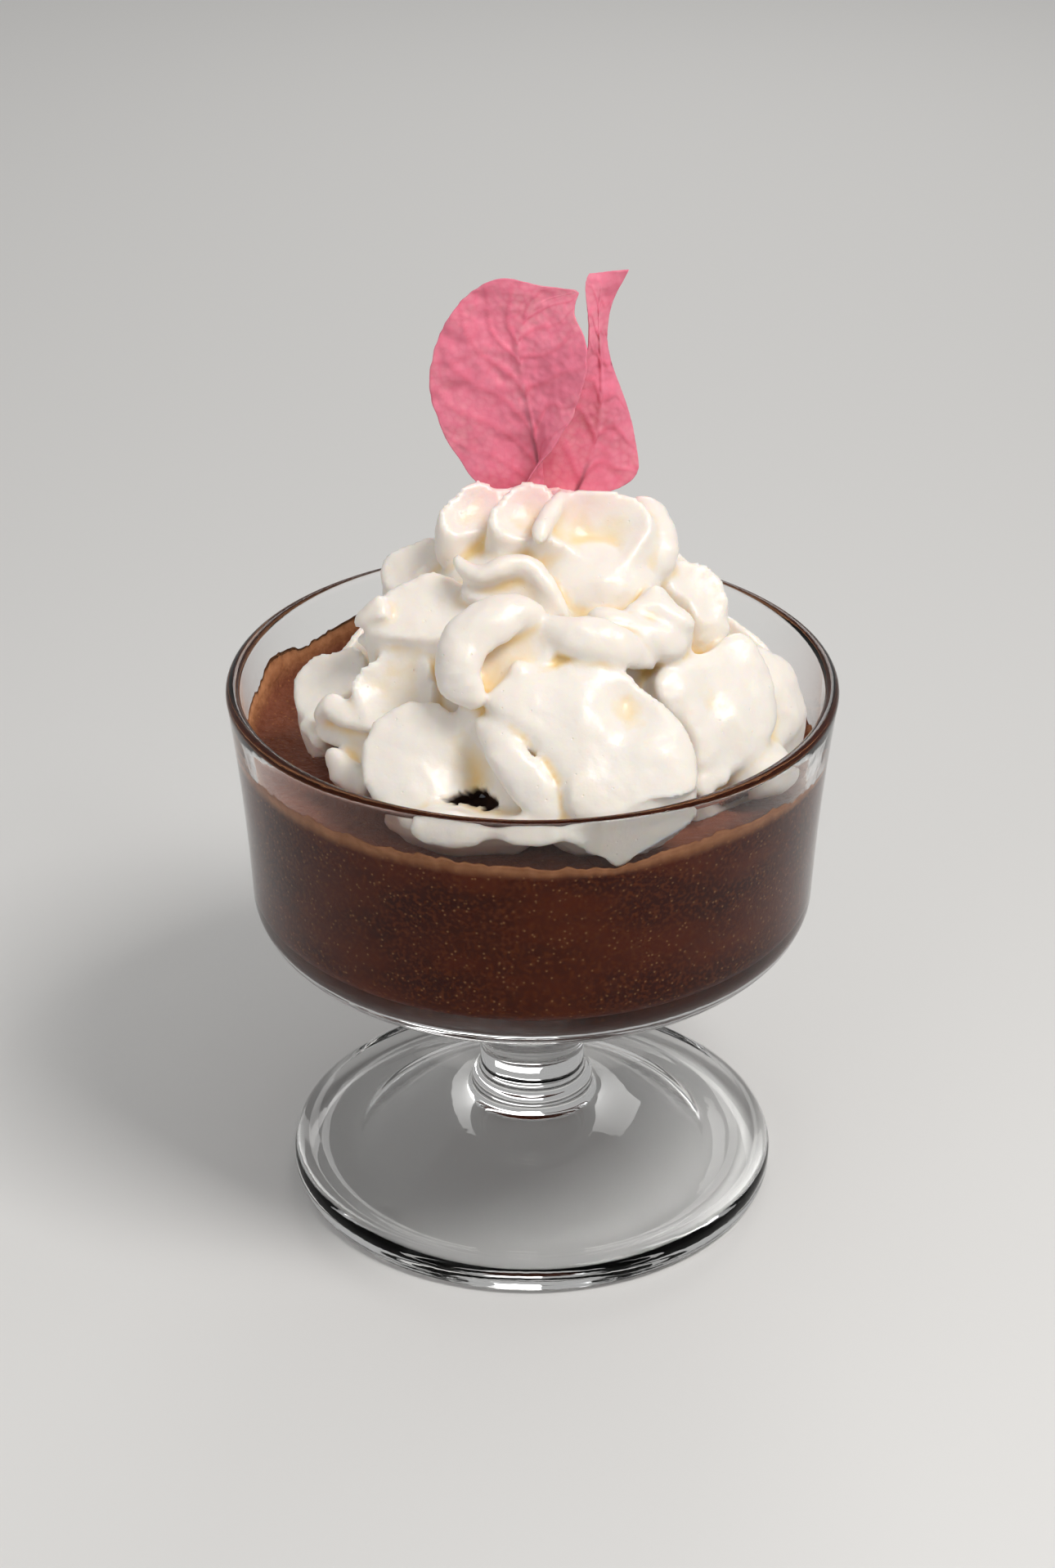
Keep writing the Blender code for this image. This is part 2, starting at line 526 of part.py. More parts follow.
def make_well():
    """Cutter for the dimple in the crown where the bracts stand"""
    bm = bmesh.new()
    ball(bm, *WELL)
    bmesh.ops.scale(bm, vec=(MM, MM, MM), verts=bm.verts)
    well = bpy.data.objects.new("well", mesh_from(bm, "well"))
    bpy.context.scene.collection.objects.link(well)
    well.hide_render = True
    well.display_type = "WIRE"
    return well


def make_cream():
    """Lobes fused to one body, thinned, settled on the mousse, with a dimple where the bracts stand"""
    made = add_object("cream", cream_lobes(), material("cream", (0.86, 0.82, 0.72), 0.35))
    fuse = made.modifiers.new("fuse", "REMESH")
    fuse.mode = "VOXEL"
    fuse.voxel_size = CREAM_VOXEL
    fuse.use_smooth_shade = True
    fused = evaluated(made)
    largest_piece(fused)
    made.modifiers.clear()
    made.data = fused
    thin = made.modifiers.new("thin", "DECIMATE")
    thin.ratio = CREAM_FACES / sum(len(face.vertices) - 2 for face in fused.polygons)
    thin.use_collapse_triangulate = True
    thinned = evaluated(made)
    settle(thinned)
    made.modifiers.clear()
    made.data = thinned
    cut = made.modifiers.new("dimple", "BOOLEAN")
    cut.operation = "DIFFERENCE"
    cut.solver = "EXACT"
    cut.object = make_well()


# ---------------------------------------------------------------- bracts, sizes in millimetres

# Lines up each bract from its foot to its tip: one margin, the midrib, the other margin
LEFT_BRACT = (
    ((0.3, 4.7, 122.2), (-8.1, 4.5, 125.4), (-12.7, 5.7, 131.3), (-15.7, 6.6, 138.3),
     (-16.0, 7.0, 145.4), (-13.9, 7.2, 151.8), (-9.6, 7.2, 157.1), (-5.0, 6.7, 159.6),
     (1.1, 6.2, 158.6), (6.7, 5.2, 158.2)),
    ((1.6, 4.7, 122.2), (1.1, 4.2, 128.4), (-0.4, 4.7, 137.0), (-1.9, 5.7, 145.2), (-2.2, 6.2, 150.4),
     (1.0, 6.2, 155.5), (6.9, 5.2, 158.0)),
    ((2.7, 2.2, 122.7), (-1.0, 0.9, 126.9), (3.7, 0.7, 134.6), (7.0, 0.7, 140.8), (8.4, 1.2, 149.9),
     (6.5, 4.2, 154.7), (7.2, 5.2, 157.8)),
)
RIGHT_BRACT = (
    ((-1.2, 6.6, 122.4), (-0.2, 6.6, 132.3), (4.4, 5.9, 139.3), (8.0, 4.8, 146.2), (8.8, 4.4, 151.6),
     (8.2, 5.6, 158.5), (8.8, 6.4, 160.5)),
    ((6.6, 7.2, 122.4), (9.9, 8.2, 131.2), (10.9, 7.7, 139.3), (10.7, 7.0, 146.4), (10.3, 6.4, 152.4),
     (10.5, 6.0, 158.0), (11.5, 6.2, 160.9)),
    ((9.6, 7.2, 122.4), (14.0, 9.0, 123.4), (16.9, 10.2, 125.8), (16.4, 10.2, 131.3),
     (14.9, 10.2, 137.3), (12.5, 9.2, 144.4), (11.7, 8.2, 149.4), (12.3, 7.7, 155.0), (14.9, 6.2, 161.2)),
)
BRACT_ROWS = 11
BRACT_COLUMNS = 3


def bract_sheet(lines):
    """Middle surface of a bract, in metres"""
    bm = bmesh.new()
    rows = []
    for i in range(BRACT_ROWS + 1):
        one, rib, other = (smooth_line(line, np.array([i / BRACT_ROWS]))[0] for line in lines)
        across = [one + (rib - one) * j / BRACT_COLUMNS for j in range(BRACT_COLUMNS)]
        across += [rib + (other - rib) * j / BRACT_COLUMNS for j in range(BRACT_COLUMNS + 1)]
        rows.append([bm.verts.new(point * MM) for point in across])
    for low, high in zip(rows, rows[1:]):
        for j in range(len(low) - 1):
            bm.faces.new((low[j], low[j + 1], high[j + 1], high[j]))
    return mesh_from(bm, "bract")


def make_bract(name, lines):
    bract = add_object(name, bract_sheet(lines), material(name, (0.78, 0.16, 0.26), 0.55))
    shell = bract.modifiers.new("thickness", "SOLIDIFY")
    shell.thickness = BRACT_THICK
    shell.offset = 0.0


def main():
    clear_scene()
    make_glass()
    make_mousse()
    make_cream()
    make_bract("bract_left", LEFT_BRACT)
    make_bract("bract_right", RIGHT_BRACT)


main()
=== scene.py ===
# %% [markdown]
# # Chocolate mousse in a footed glass
# The dish has five pieces: the glass, the mousse that fills it, whipped cream on top, and two
# pink bougainvillea bracts standing in the cream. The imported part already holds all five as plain
# solids at their real size and place. This lesson builds a finer piece over each solid and gives
# it its finish. The solids stay in the file, hidden, because they carry weight and contact.
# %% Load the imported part
from math import cos, hypot, pi, radians, sin

import bmesh
import bpy
import numpy as np
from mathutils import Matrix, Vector, noise


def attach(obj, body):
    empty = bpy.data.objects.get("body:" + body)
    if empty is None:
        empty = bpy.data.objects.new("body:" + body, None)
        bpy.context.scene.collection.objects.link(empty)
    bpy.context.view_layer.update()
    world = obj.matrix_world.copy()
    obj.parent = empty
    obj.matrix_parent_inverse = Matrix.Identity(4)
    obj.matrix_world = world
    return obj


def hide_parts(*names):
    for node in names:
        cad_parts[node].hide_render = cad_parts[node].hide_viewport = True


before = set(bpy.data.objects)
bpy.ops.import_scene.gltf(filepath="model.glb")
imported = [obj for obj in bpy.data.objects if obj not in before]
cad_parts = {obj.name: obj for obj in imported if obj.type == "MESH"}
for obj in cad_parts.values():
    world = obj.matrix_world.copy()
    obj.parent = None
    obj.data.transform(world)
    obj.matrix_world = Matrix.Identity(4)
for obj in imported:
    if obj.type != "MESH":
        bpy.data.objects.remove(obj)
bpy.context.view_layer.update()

MM = 0.001

# %% [markdown]
# Every piece is handled in the same way when its mesh is ready: it is linked at the origin, given
# its finish, and the solid it stands for is hidden. A small helper keeps that in one place. The
# piece rides on the body called root, since nothing in this dish moves by itself.
# %% A helper that turns a mesh into a finished piece


def add_piece(name, mesh, finish, node):
    """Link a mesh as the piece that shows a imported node"""
    mesh.materials.clear()
    mesh.materials.append(finish)
    mesh.shade_smooth()
    piece = bpy.data.objects.new(name, mesh)
    bpy.context.scene.collection.objects.link(piece)
    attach(piece, "root")
    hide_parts(node)
    print(name, "has", sum(len(face.vertices) - 2 for face in mesh.polygons), "triangles")
    return piece


def mesh_of(bm, name):
    """A mesh from a bmesh, which is then freed"""
    mesh = bpy.data.meshes.new(name)
    bm.to_mesh(mesh)
    bm.free()
    return mesh


# %% [markdown]
# Materials are node trees. Most of them here need the same few steps: a noise pattern that reads
# the piece's own coordinates, a ramp that turns it into a colour or a number, and a bump. These
# helpers add one node each and join it up, so that a finish reads as a short recipe. Noise scales
# are counted per metre, because the coordinates are in metres: 1000 gives spots a millimetre wide.
# %% Helpers that add shader nodes


def start_finish(name):
    """A new material: its node tree and its Principled shader"""
    finish = bpy.data.materials.new(name)
    finish.use_nodes = True
    tree = finish.node_tree
    return finish, tree, tree.nodes["Principled BSDF"]


def set_inputs(node, **values):
    """Set a node's sockets by name, with _ for a space"""
    for name, value in values.items():
        node.inputs[name.replace("_", " ")].default_value = value


def add_noise(tree, scale, detail=3.0, roughness=0.5, stretch=(1, 1, 1)):
    """Noise on the piece's own coordinates, and its value from 0 to 1"""
    place = tree.nodes.new("ShaderNodeTexCoord")
    mapping = tree.nodes.new("ShaderNodeMapping")
    mapping.inputs["Scale"].default_value = stretch
    pattern = tree.nodes.new("ShaderNodeTexNoise")
    set_inputs(pattern, Scale=scale, Detail=detail, Roughness=roughness)
    tree.links.new(place.outputs["Object"], mapping.inputs["Vector"])
    tree.links.new(mapping.outputs["Vector"], pattern.inputs["Vector"])
    return pattern.outputs["Fac"]


def add_cells(tree, scale, spread=1.0):
    """Distance to scattered points, 0 at each point"""
    place = tree.nodes.new("ShaderNodeTexCoord")
    pattern = tree.nodes.new("ShaderNodeTexVoronoi")
    set_inputs(pattern, Scale=scale, Randomness=spread)
    tree.links.new(place.outputs["Object"], pattern.inputs["Vector"])
    return pattern.outputs["Distance"]


def add_ramp(tree, source, *stops):
    """A ramp from a value to a colour; each stop is (place, colour or grey)"""
    ramp = tree.nodes.new("ShaderNodeValToRGB")
    elements = ramp.color_ramp.elements
    while len(elements) < len(stops):
        elements.new(0.5)
    for element, (at, colour) in zip(elements, stops):
        element.position = at
        grey = isinstance(colour, (int, float))
        element.color = (colour, colour, colour, 1) if grey else (*colour, 1)
    tree.links.new(source, ramp.inputs["Fac"])
    return ramp.outputs["Color"]


def add_mix(tree, share, first, second, blend="MIX"):
    """Mix two colours, each a socket or three numbers, by a share, a socket or a number"""
    mix = tree.nodes.new("ShaderNodeMix")
    mix.data_type = "RGBA"
    mix.blend_type = blend
    for socket, value in zip((mix.inputs[0], mix.inputs[6], mix.inputs[7]), (share, first, second)):
        if isinstance(value, bpy.types.NodeSocket):
            tree.links.new(value, socket)
        elif isinstance(value, tuple):
            socket.default_value = (*value, 1)
        else:
            socket.default_value = value
    return mix.outputs[2]


def add_attribute(tree, name):
    """A number stored on the mesh's vertices"""
    stored = tree.nodes.new("ShaderNodeAttribute")
    stored.attribute_name = name
    return stored.outputs["Fac"]


def add_bump(tree, shader, *layers):
    """Stack bumps; each layer is (height socket, depth in metres)"""
    below = None
    for height, depth in layers:
        bump = tree.nodes.new("ShaderNodeBump")
        set_inputs(bump, Strength=1.0, Distance=depth)
        tree.links.new(height, bump.inputs["Height"])
        if below:
            tree.links.new(below, bump.inputs["Normal"])
        below = bump.outputs["Normal"]
    tree.links.new(below, shader.inputs["Normal"])


# %% [markdown]
# ## The glass
# The real glass is pressed and turned: a bowl, a short stem with two rings, and a disc foot with
# a raised edge and a sloping top. Such a thing is best made as the maker does, by turning one
# outline round the axis. The outline is drawn with arcs and gentle curves from the glass's own
# sizes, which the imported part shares, and Spin sweeps it through a full turn.
# %% Sizes of the glass
RIM_RADIUS = 50.0 * MM
RIM_HEIGHT = 94.0 * MM
LIP = 2.3 * MM
BOWL_RADIUS = 47.0 * MM
BOWL_BOTTOM = 49.0 * MM
BOWL_CORNER = 8.0 * MM
BOWL_WALL = 2.6 * MM
BOWL_BASE = 5.6 * MM
STEM_RADIUS = 9.0 * MM
FOOT_RADIUS = 41.7 * MM
FOOT_EDGE = 5.4 * MM
FOOT_CREST = 13.2 * MM
STAND_RING = 31.0 * MM
FOOT_HOLLOW = 9.0 * MM
TURNS = 160

WALL_TOP = RIM_HEIGHT - LIP / 2
CORNER_Z = BOWL_BOTTOM + BOWL_CORNER
INNER_CORNER = BOWL_CORNER - BOWL_WALL
INNER_BOTTOM = BOWL_BOTTOM + BOWL_BASE
CORNER_R = BOWL_RADIUS - BOWL_CORNER
print("glass is", round(RIM_HEIGHT / MM), "mm high and", round(2 * RIM_RADIUS / MM), "mm across")

# %% Arcs and curves for outlines


def arc(centre, radius, start, end, steps):
    """Points (r, z) on an arc, angles in degrees from +r towards +z"""
    angles = [radians(start + (end - start) * i / steps) for i in range(steps + 1)]
    return [(centre[0] + radius * cos(a), centre[1] + radius * sin(a)) for a in angles]


def curve(start, handle, end, steps):
    """Points (r, z) on a quadratic curve"""
    points = []
    for i in range(steps + 1):
        t = i / steps
        a, b, c = (1 - t) ** 2, 2 * t * (1 - t), t * t
        points.append(tuple(a * start[k] + b * handle[k] + c * end[k] for k in (0, 1)))
    return points


def outer_wall(steps=24):
    """Bowl outside, rim down to the corner"""
    return curve((RIM_RADIUS, WALL_TOP), (BOWL_RADIUS + 0.7 * MM, RIM_HEIGHT - 19.2 * MM),
                 (BOWL_RADIUS, CORNER_Z), steps)


def inner_wall(steps=24):
    """Bowl inside, rim down to the corner"""
    return curve((RIM_RADIUS - LIP, WALL_TOP),
                 (BOWL_RADIUS - BOWL_WALL + 0.8 * MM, RIM_HEIGHT - 19.2 * MM),
                 (BOWL_RADIUS - BOWL_WALL, INNER_BOTTOM + INNER_CORNER), steps)


def inner_radius(z):
    """Radius of the bowl's inside at heights, one or an array"""
    radii, heights = np.array(inner_wall()[::-1]).T
    return np.interp(z, heights, radii)


# %% The outline, from under the foot to the bottom of the bowl's inside


def foot_outline():
    """Domed hollow underneath, standing ring, rounded edge, raised ring and slope up to the stem"""
    ring_top = (FOOT_RADIUS - 9.0 * MM, FOOT_EDGE - 0.5 * MM)
    points = curve((0.0, FOOT_HOLLOW), (STAND_RING / 2, FOOT_HOLLOW), (STAND_RING, 0.0), 16)
    points += arc((FOOT_RADIUS - 1.6 * MM, 1.6 * MM), 1.6 * MM, -90, 0, 8)
    points += arc((FOOT_RADIUS - 2.4 * MM, FOOT_EDGE - 2.4 * MM), 2.4 * MM, 0, 100, 12)
    points += curve((FOOT_RADIUS - 4.6 * MM, FOOT_EDGE - 0.9 * MM),
                    (FOOT_RADIUS - 6.4 * MM, FOOT_EDGE - 1.6 * MM), ring_top, 8)
    points += curve(ring_top, (20.0 * MM, FOOT_CREST - 3.6 * MM), (13.4 * MM, FOOT_CREST), 16)[1:]
    return points


def stem_outline():
    """Two steps, a bead and the plain stem, which flares under the bowl"""
    points = curve((11.6 * MM, FOOT_CREST + 0.9 * MM), (10.8 * MM, FOOT_CREST + 1.4 * MM),
                   (10.7 * MM, FOOT_CREST + 2.3 * MM), 5)
    points += arc((STEM_RADIUS + 0.1 * MM, FOOT_CREST + 3.4 * MM), 1.4 * MM, -20, 70, 8)
    points += [(STEM_RADIUS, FOOT_CREST + 6.4 * MM)]
    points += arc((STEM_RADIUS + 4.0 * MM, BOWL_BOTTOM - 4.4 * MM), 4.0 * MM, 180, 97, 10)
    return points


def bowl_outline():
    """Underside, wall, rounded rim, inside wall and inside bottom"""
    points = arc((CORNER_R, CORNER_Z), BOWL_CORNER, -90, 0, 14)
    points += outer_wall()[::-1][1:]
    points += arc((RIM_RADIUS - LIP / 2, WALL_TOP), LIP / 2, 0, 180, 14)[1:-1]
    points += inner_wall()
    points += arc((CORNER_R, INNER_BOTTOM + INNER_CORNER), INNER_CORNER, 0, -90, 12)[1:]
    return points + [(0.0, INNER_BOTTOM)]


outline = foot_outline() + stem_outline() + bowl_outline()
print("the outline has", len(outline), "points")

# %% Spin the outline into the glass


def turn(points, steps=TURNS):
    """Sweep a closed outline of (r, z) points round Z"""
    bm = bmesh.new()
    verts = [bm.verts.new((r, 0.0, z)) for r, z in points]
    edges = [bm.edges.new(pair) for pair in zip(verts, verts[1:])]
    bmesh.ops.spin(bm, geom=verts + edges, cent=(0, 0, 0), axis=(0, 0, 1), angle=2 * pi,
                   steps=steps, use_merge=True)
    bmesh.ops.remove_doubles(bm, verts=bm.verts, dist=0.005 * MM)
    bmesh.ops.recalc_face_normals(bm, faces=bm.faces)
    return bm


# %% [markdown]
# Clear glass is a Principled shader with full transmission. Pressed glass isn't perfect, though:
# its surface has long, faint ripples where it cooled in the mould, so light wobbles on the foot.
# A very shallow bump from a wide noise does that, and a second one adds a few finer wrinkles.
# %% Glass finish
glass_finish, tree, shader = start_finish("clear pressed glass")
set_inputs(shader, Base_Color=(0.985, 0.99, 0.99, 1), Roughness=0.01, IOR=1.4, Transmission_Weight=1.0,
           Specular_Tint=(0.3, 0.3, 0.3, 1))
add_bump(tree, shader, (add_noise(tree, 60.0, 1.0), 0.10 * MM), (add_noise(tree, 260.0, 2.0), 0.02 * MM))
glass = add_piece("pressed_glass", mesh_of(turn(outline), "pressed_glass"), glass_finish, "glass")

# %% [markdown]
# ## The mousse
# Mousse is spooned in while it is soft, so it takes the shape of the bowl, settles level, and
# leaves a thin, ragged smear on the wall above. It can be turned like the glass. Its side is made
# a hair wider than the inside of the bowl, so that it ends within the wall: a gap there, however
# thin, would show through the glass as a silvery skin of air. The smear's height round the wall
# is a short table of directions and depths below the rim, eased between one and the next.
# %% Level and smear of the mousse
LEVEL = RIM_HEIGHT - 11.8 * MM
SMEAR_WIDTH = 5.0 * MM
INTO_WALL = 0.12 * MM
SMEAR = ((-170, 8.8), (-145, 8.2), (-110, 8.2), (-75, 9.3), (-57, 7.7), (-40, 8.6), (-22, 10.2),
         (-5, 11.6), (15, 11.4), (28, 10.4), (40, 8.0), (75, 7.2), (110, 7.0), (130, 6.2), (146, 7.7),
         (158, 5.2), (168, 7.4), (190, 8.8))


def smear_height(azimuth):
    """Height of the smear's ragged top edge, by direction in degrees"""
    places = [angle for angle, below in SMEAR]
    k = max(i for i, place in enumerate(places[:-1]) if place <= azimuth or i == 0)
    t = (azimuth - places[k]) / (places[k + 1] - places[k])
    below = SMEAR[k][1] + (SMEAR[k + 1][1] - SMEAR[k][1]) * t * t * (3 - 2 * t)
    side = Vector((cos(radians(azimuth)), sin(radians(azimuth)), 0))
    ragged = 0.6 * noise.noise(side * 11) + 0.55 * noise.noise(side * 31) + 0.4 * noise.noise(side * 80)
    return RIM_HEIGHT - (below - ragged) * MM


smear_turns = np.arange(-170.0, 190.0, 0.5)
smear_edge = np.array([smear_height(azimuth) for azimuth in smear_turns])


def smear_at(x, y):
    """Height of the smear's edge in the direction of places in plan"""
    return np.interp(np.degrees(np.arctan2(y, x)), smear_turns, smear_edge, period=360)


def mousse_top(x, y):
    """Height of the mousse at places in plan: level, climbing as a thin smear near the wall"""
    edge = smear_at(x, y)
    rise = np.maximum(0.0, 1.0 - (inner_radius(edge) - np.hypot(x, y)) / SMEAR_WIDTH)
    return LEVEL + (edge - LEVEL) * np.minimum(1.0, 1.1 * rise ** 4)


print("the smear reaches", round(float(smear_edge.max() - LEVEL) / MM, 1), "mm above the level")

# %% [markdown]
# The outline is spun into a body with a flat top. Rings lie close together where the top meets the
# wall. The rings just under the edge are then stretched up the wall to the smear's height, and
# every vertex of the top is lifted to meet them, with some unevenness: whipped egg and cream never
# settle quite flat. Whole arrays of places are moved at once, which numpy does quickly.
# %% Helpers that read and write a mesh's places


def read_places(mesh):
    places = np.empty(len(mesh.vertices) * 3, np.float32)
    mesh.vertices.foreach_get("co", places)
    return places.reshape(-1, 3).astype(float)


def write_places(mesh, places):
    mesh.vertices.foreach_set("co", places.astype(np.float32).ravel())
    mesh.update()


def store(mesh, name, values):
    """Keep a number from 0 to 1 for each vertex under a name"""
    mark = mesh.attributes.new(name, "FLOAT", "POINT")
    mark.data.foreach_set("value", np.clip(values, 0, 1).astype(np.float32))


# %% Spin the mousse and lift its top
MOUSSE_TURNS = 400
WALL_RINGS = 8
TOP_RINGS = (0.0, 0.12, 0.3, 0.5, 0.75, 1.0, 1.4, 1.8, 2.3, 2.9, 3.5, 4.2, 5.0)
TOP_GRAIN = ((110, 0.30), (400, 0.26), (1000, 0.20))
TOP_RADIUS = inner_radius(LEVEL) + INTO_WALL


def mousse_outline():
    """Under the mousse, up its side and in over its level top"""
    points = [(0.0, INNER_BOTTOM - INTO_WALL)]
    points += arc((CORNER_R, INNER_BOTTOM + INNER_CORNER), INNER_CORNER + INTO_WALL, -90, 0, 8)
    wall = [(r + INTO_WALL, z) for r, z in inner_wall(12)[::-1][1:]]
    points += [point for point in wall if point[1] < LEVEL - 1.6 * MM]
    points += [(TOP_RADIUS, LEVEL - (1 - i / WALL_RINGS) * MM) for i in range(WALL_RINGS)]
    points += [(TOP_RADIUS - inset * MM, LEVEL) for inset in TOP_RINGS]
    inner = TOP_RADIUS - TOP_RINGS[-1] * MM
    points += [(inner - 0.7 * MM * i, LEVEL) for i in range(1, 22)]
    return points + [((inner - 14.7 * MM) * (1 - i / 4), LEVEL) for i in range(1, 5)]


mousse_mesh = mesh_of(turn(mousse_outline(), MOUSSE_TURNS), "mousse_fill")
places = read_places(mousse_mesh)
x, y, z = places.T
radius = np.hypot(x, y)
edge = smear_at(x, y)
top = (z > LEVEL - 0.01 * MM) & (radius < TOP_RADIUS - 0.06 * MM)
climb = np.clip((z - LEVEL) / MM + 1, 0, 1)
grain = sum(depth * np.array([noise.noise(Vector(p) * scale) for p in places]) for scale, depth in TOP_GRAIN)
lumps = grain * MM * np.clip((TOP_RADIUS - radius) / (0.8 * MM), 0, 1)
on_wall = np.where(climb > 0, LEVEL - MM + (edge - LEVEL + MM) * climb, z)
z = np.where(top, mousse_top(x, y) + lumps, on_wall)
grow = np.where(~top & (climb > 0), (inner_radius(z) + INTO_WALL) / np.maximum(radius, MM), 1.0)
write_places(mousse_mesh, np.stack([x * grow, y * grow, z], -1))
store(mousse_mesh, "open", top)
store(mousse_mesh, "smear", 2.4 * (z - LEVEL) / np.maximum(edge - LEVEL, 0.4 * MM) - 0.6)

# %% [markdown]
# Chocolate mousse is dark where it lies thick against the glass, with paler flecks where bubbles
# broke. Its open top is a little redder, with a soft sheen and a grain of small lumps, and the
# smear is thin and so much paler. The two numbers just stored, for the open top and the smear, say
# which of these browns shows, and let the grain be rough only where no glass pressed it smooth.
# %% Mousse finish
mousse_finish, tree, shader = start_finish("chocolate mousse")
open_top = add_attribute(tree, "open")
slow = add_ramp(tree, add_noise(tree, 60.0, 3.0, stretch=(1, 1, 2.2)), (0.36, 0.0), (0.64, 1.0))
brown = add_mix(tree, slow, (0.052, 0.0050, 0.0006), (0.108, 0.0145, 0.0020))
grain = add_ramp(tree, add_noise(tree, 1500.0, 2.0), (0.46, 0.0), (0.72, 1.0))
brown = add_mix(tree, grain, brown, (0.150, 0.032, 0.006))
crumb = add_mix(tree, add_noise(tree, 700.0, 3.0), (0.150, 0.040, 0.020), (0.290, 0.105, 0.060))
brown = add_mix(tree, open_top, brown, crumb)
thin = add_mix(tree, add_noise(tree, 500.0, 3.0), (0.24, 0.078, 0.028), (0.62, 0.290, 0.140))
brown = add_mix(tree, add_attribute(tree, "smear"), brown, thin)
flecks = add_ramp(tree, add_cells(tree, 900.0), (0.0, 1.0), (0.24, 0.0))
brown = add_mix(tree, flecks, brown, (0.40, 0.170, 0.060))
tree.links.new(brown, shader.inputs["Base Color"])
sheen = add_ramp(tree, add_noise(tree, 500.0, 2.0), (0.3, 0.30), (0.7, 0.5))
tree.links.new(sheen, shader.inputs["Roughness"])
set_inputs(shader, Specular_IOR_Level=0.04)
rough = add_mix(tree, open_top, (0, 0, 0), add_noise(tree, 1100.0, 3.0))
add_bump(tree, shader, (rough, 0.45 * MM))
mousse = add_piece("mousse_fill", mousse_mesh, mousse_finish, "mousse")
# %% [markdown]
# ## The whipped cream
# Cream from a siphon falls in soft folded petals that lean on one another. Each petal is a thin
# lip round a shallow hollow, thick behind, and where two meet there is a smooth valley, since
# cream flows a little before it sets. So the mound is made of lobes: unit balls whose vertices
# are moved by formulas into petals, bands and plain lumps. Their sizes are in millimetres. A voxel
# remesh then fuses all of them into one skin, and the valleys are filled a little.
#
# A lobe looks in some direction: a compass angle, where -90 faces the camera side, and an angle
# above the horizon. From those two come its own right, up and outward directions.
# %% Directions and smooth lines


def looking(azimuth, elevation):
    """Right, up and outward directions of a lobe; the angles, in degrees, may be arrays"""
    a, e = np.radians(azimuth), np.radians(elevation)
    outward = np.stack([np.cos(e) * np.cos(a), np.cos(e) * np.sin(a), np.sin(e)], -1)
    right = np.stack([-np.sin(a), np.cos(a), 0.0 * a], -1)
    return right, np.cross(outward, right), outward


def through(a, b, c, d, u):
    """From b to c as u goes from 0 to 1, on a smooth line that also knows its neighbours a and d"""
    return 0.5 * (2 * b + (c - a) * u + (2 * a - 5 * b + 4 * c - d) * u ** 2 + (3 * b - a - 3 * c + d) * u ** 3)


def smooth_line(points, t):
    """Points at places t, 0 to 1, on a smooth line through the given points"""
    points = np.array(points, float)
    last = len(points) - 1
    place = np.clip(t, 0, 1) * last
    i = np.minimum(place.astype(int), last - 1)
    a, b, c, d = (points[np.clip(k, 0, last)] for k in (i - 1, i, i + 1, i + 2))
    return through(a, b, c, d, (place - i)[:, None])


def smooth_ring(values, turn):
    """Values at turns, 0 to 1, on a smooth closed ring of evenly spaced values"""
    values = np.array(values, float)
    place = (turn % 1.0) * len(values)
    i = place.astype(int)
    a, b, c, d = (values[k % len(values)] for k in (i - 1, i, i + 1, i + 2))
    return through(a, b, c, d, place - i)


def eased(values, t):
    """Values at places t, 0 to 1, eased between the given ones"""
    place = np.clip(t, 0, 1) * (len(values) - 1)
    whole = np.floor(place)
    part = place - whole
    return np.interp(whole + part * part * (3 - 2 * part), np.arange(len(values)), values)


# %% [markdown]
# A petal is told by its middle, the way it looks, and the reach of its rim at evenly spaced clock
# positions, counted from its right side over its top. The rest are depths: of the hollow in front,
# of the belly behind and of the lip, and dents and flutes where the cream folded.
# %% Lobes


def unit_ball(around, along):
    """A ball of radius 1 in a mesh of its own, and its vertices' places as an array"""
    lobe = bmesh.new()
    bmesh.ops.create_uvsphere(lobe, u_segments=around, v_segments=along, radius=1.0)
    return lobe, np.array([v.co for v in lobe.verts])


def add_lobe(bm, lobe, places):
    """Move a lobe's vertices to their places and add it to the others"""
    for v, co in zip(lobe.verts, places):
        v.co = co
    mesh = bpy.data.meshes.new("lobe")
    lobe.to_mesh(mesh)
    lobe.free()
    bm.from_mesh(mesh)
    bpy.data.meshes.remove(mesh)


def ball(bm, middle, half):
    """A plain lump"""
    lobe, unit = unit_ball(48, 32)
    add_lobe(bm, lobe, np.array(middle) + unit * half)


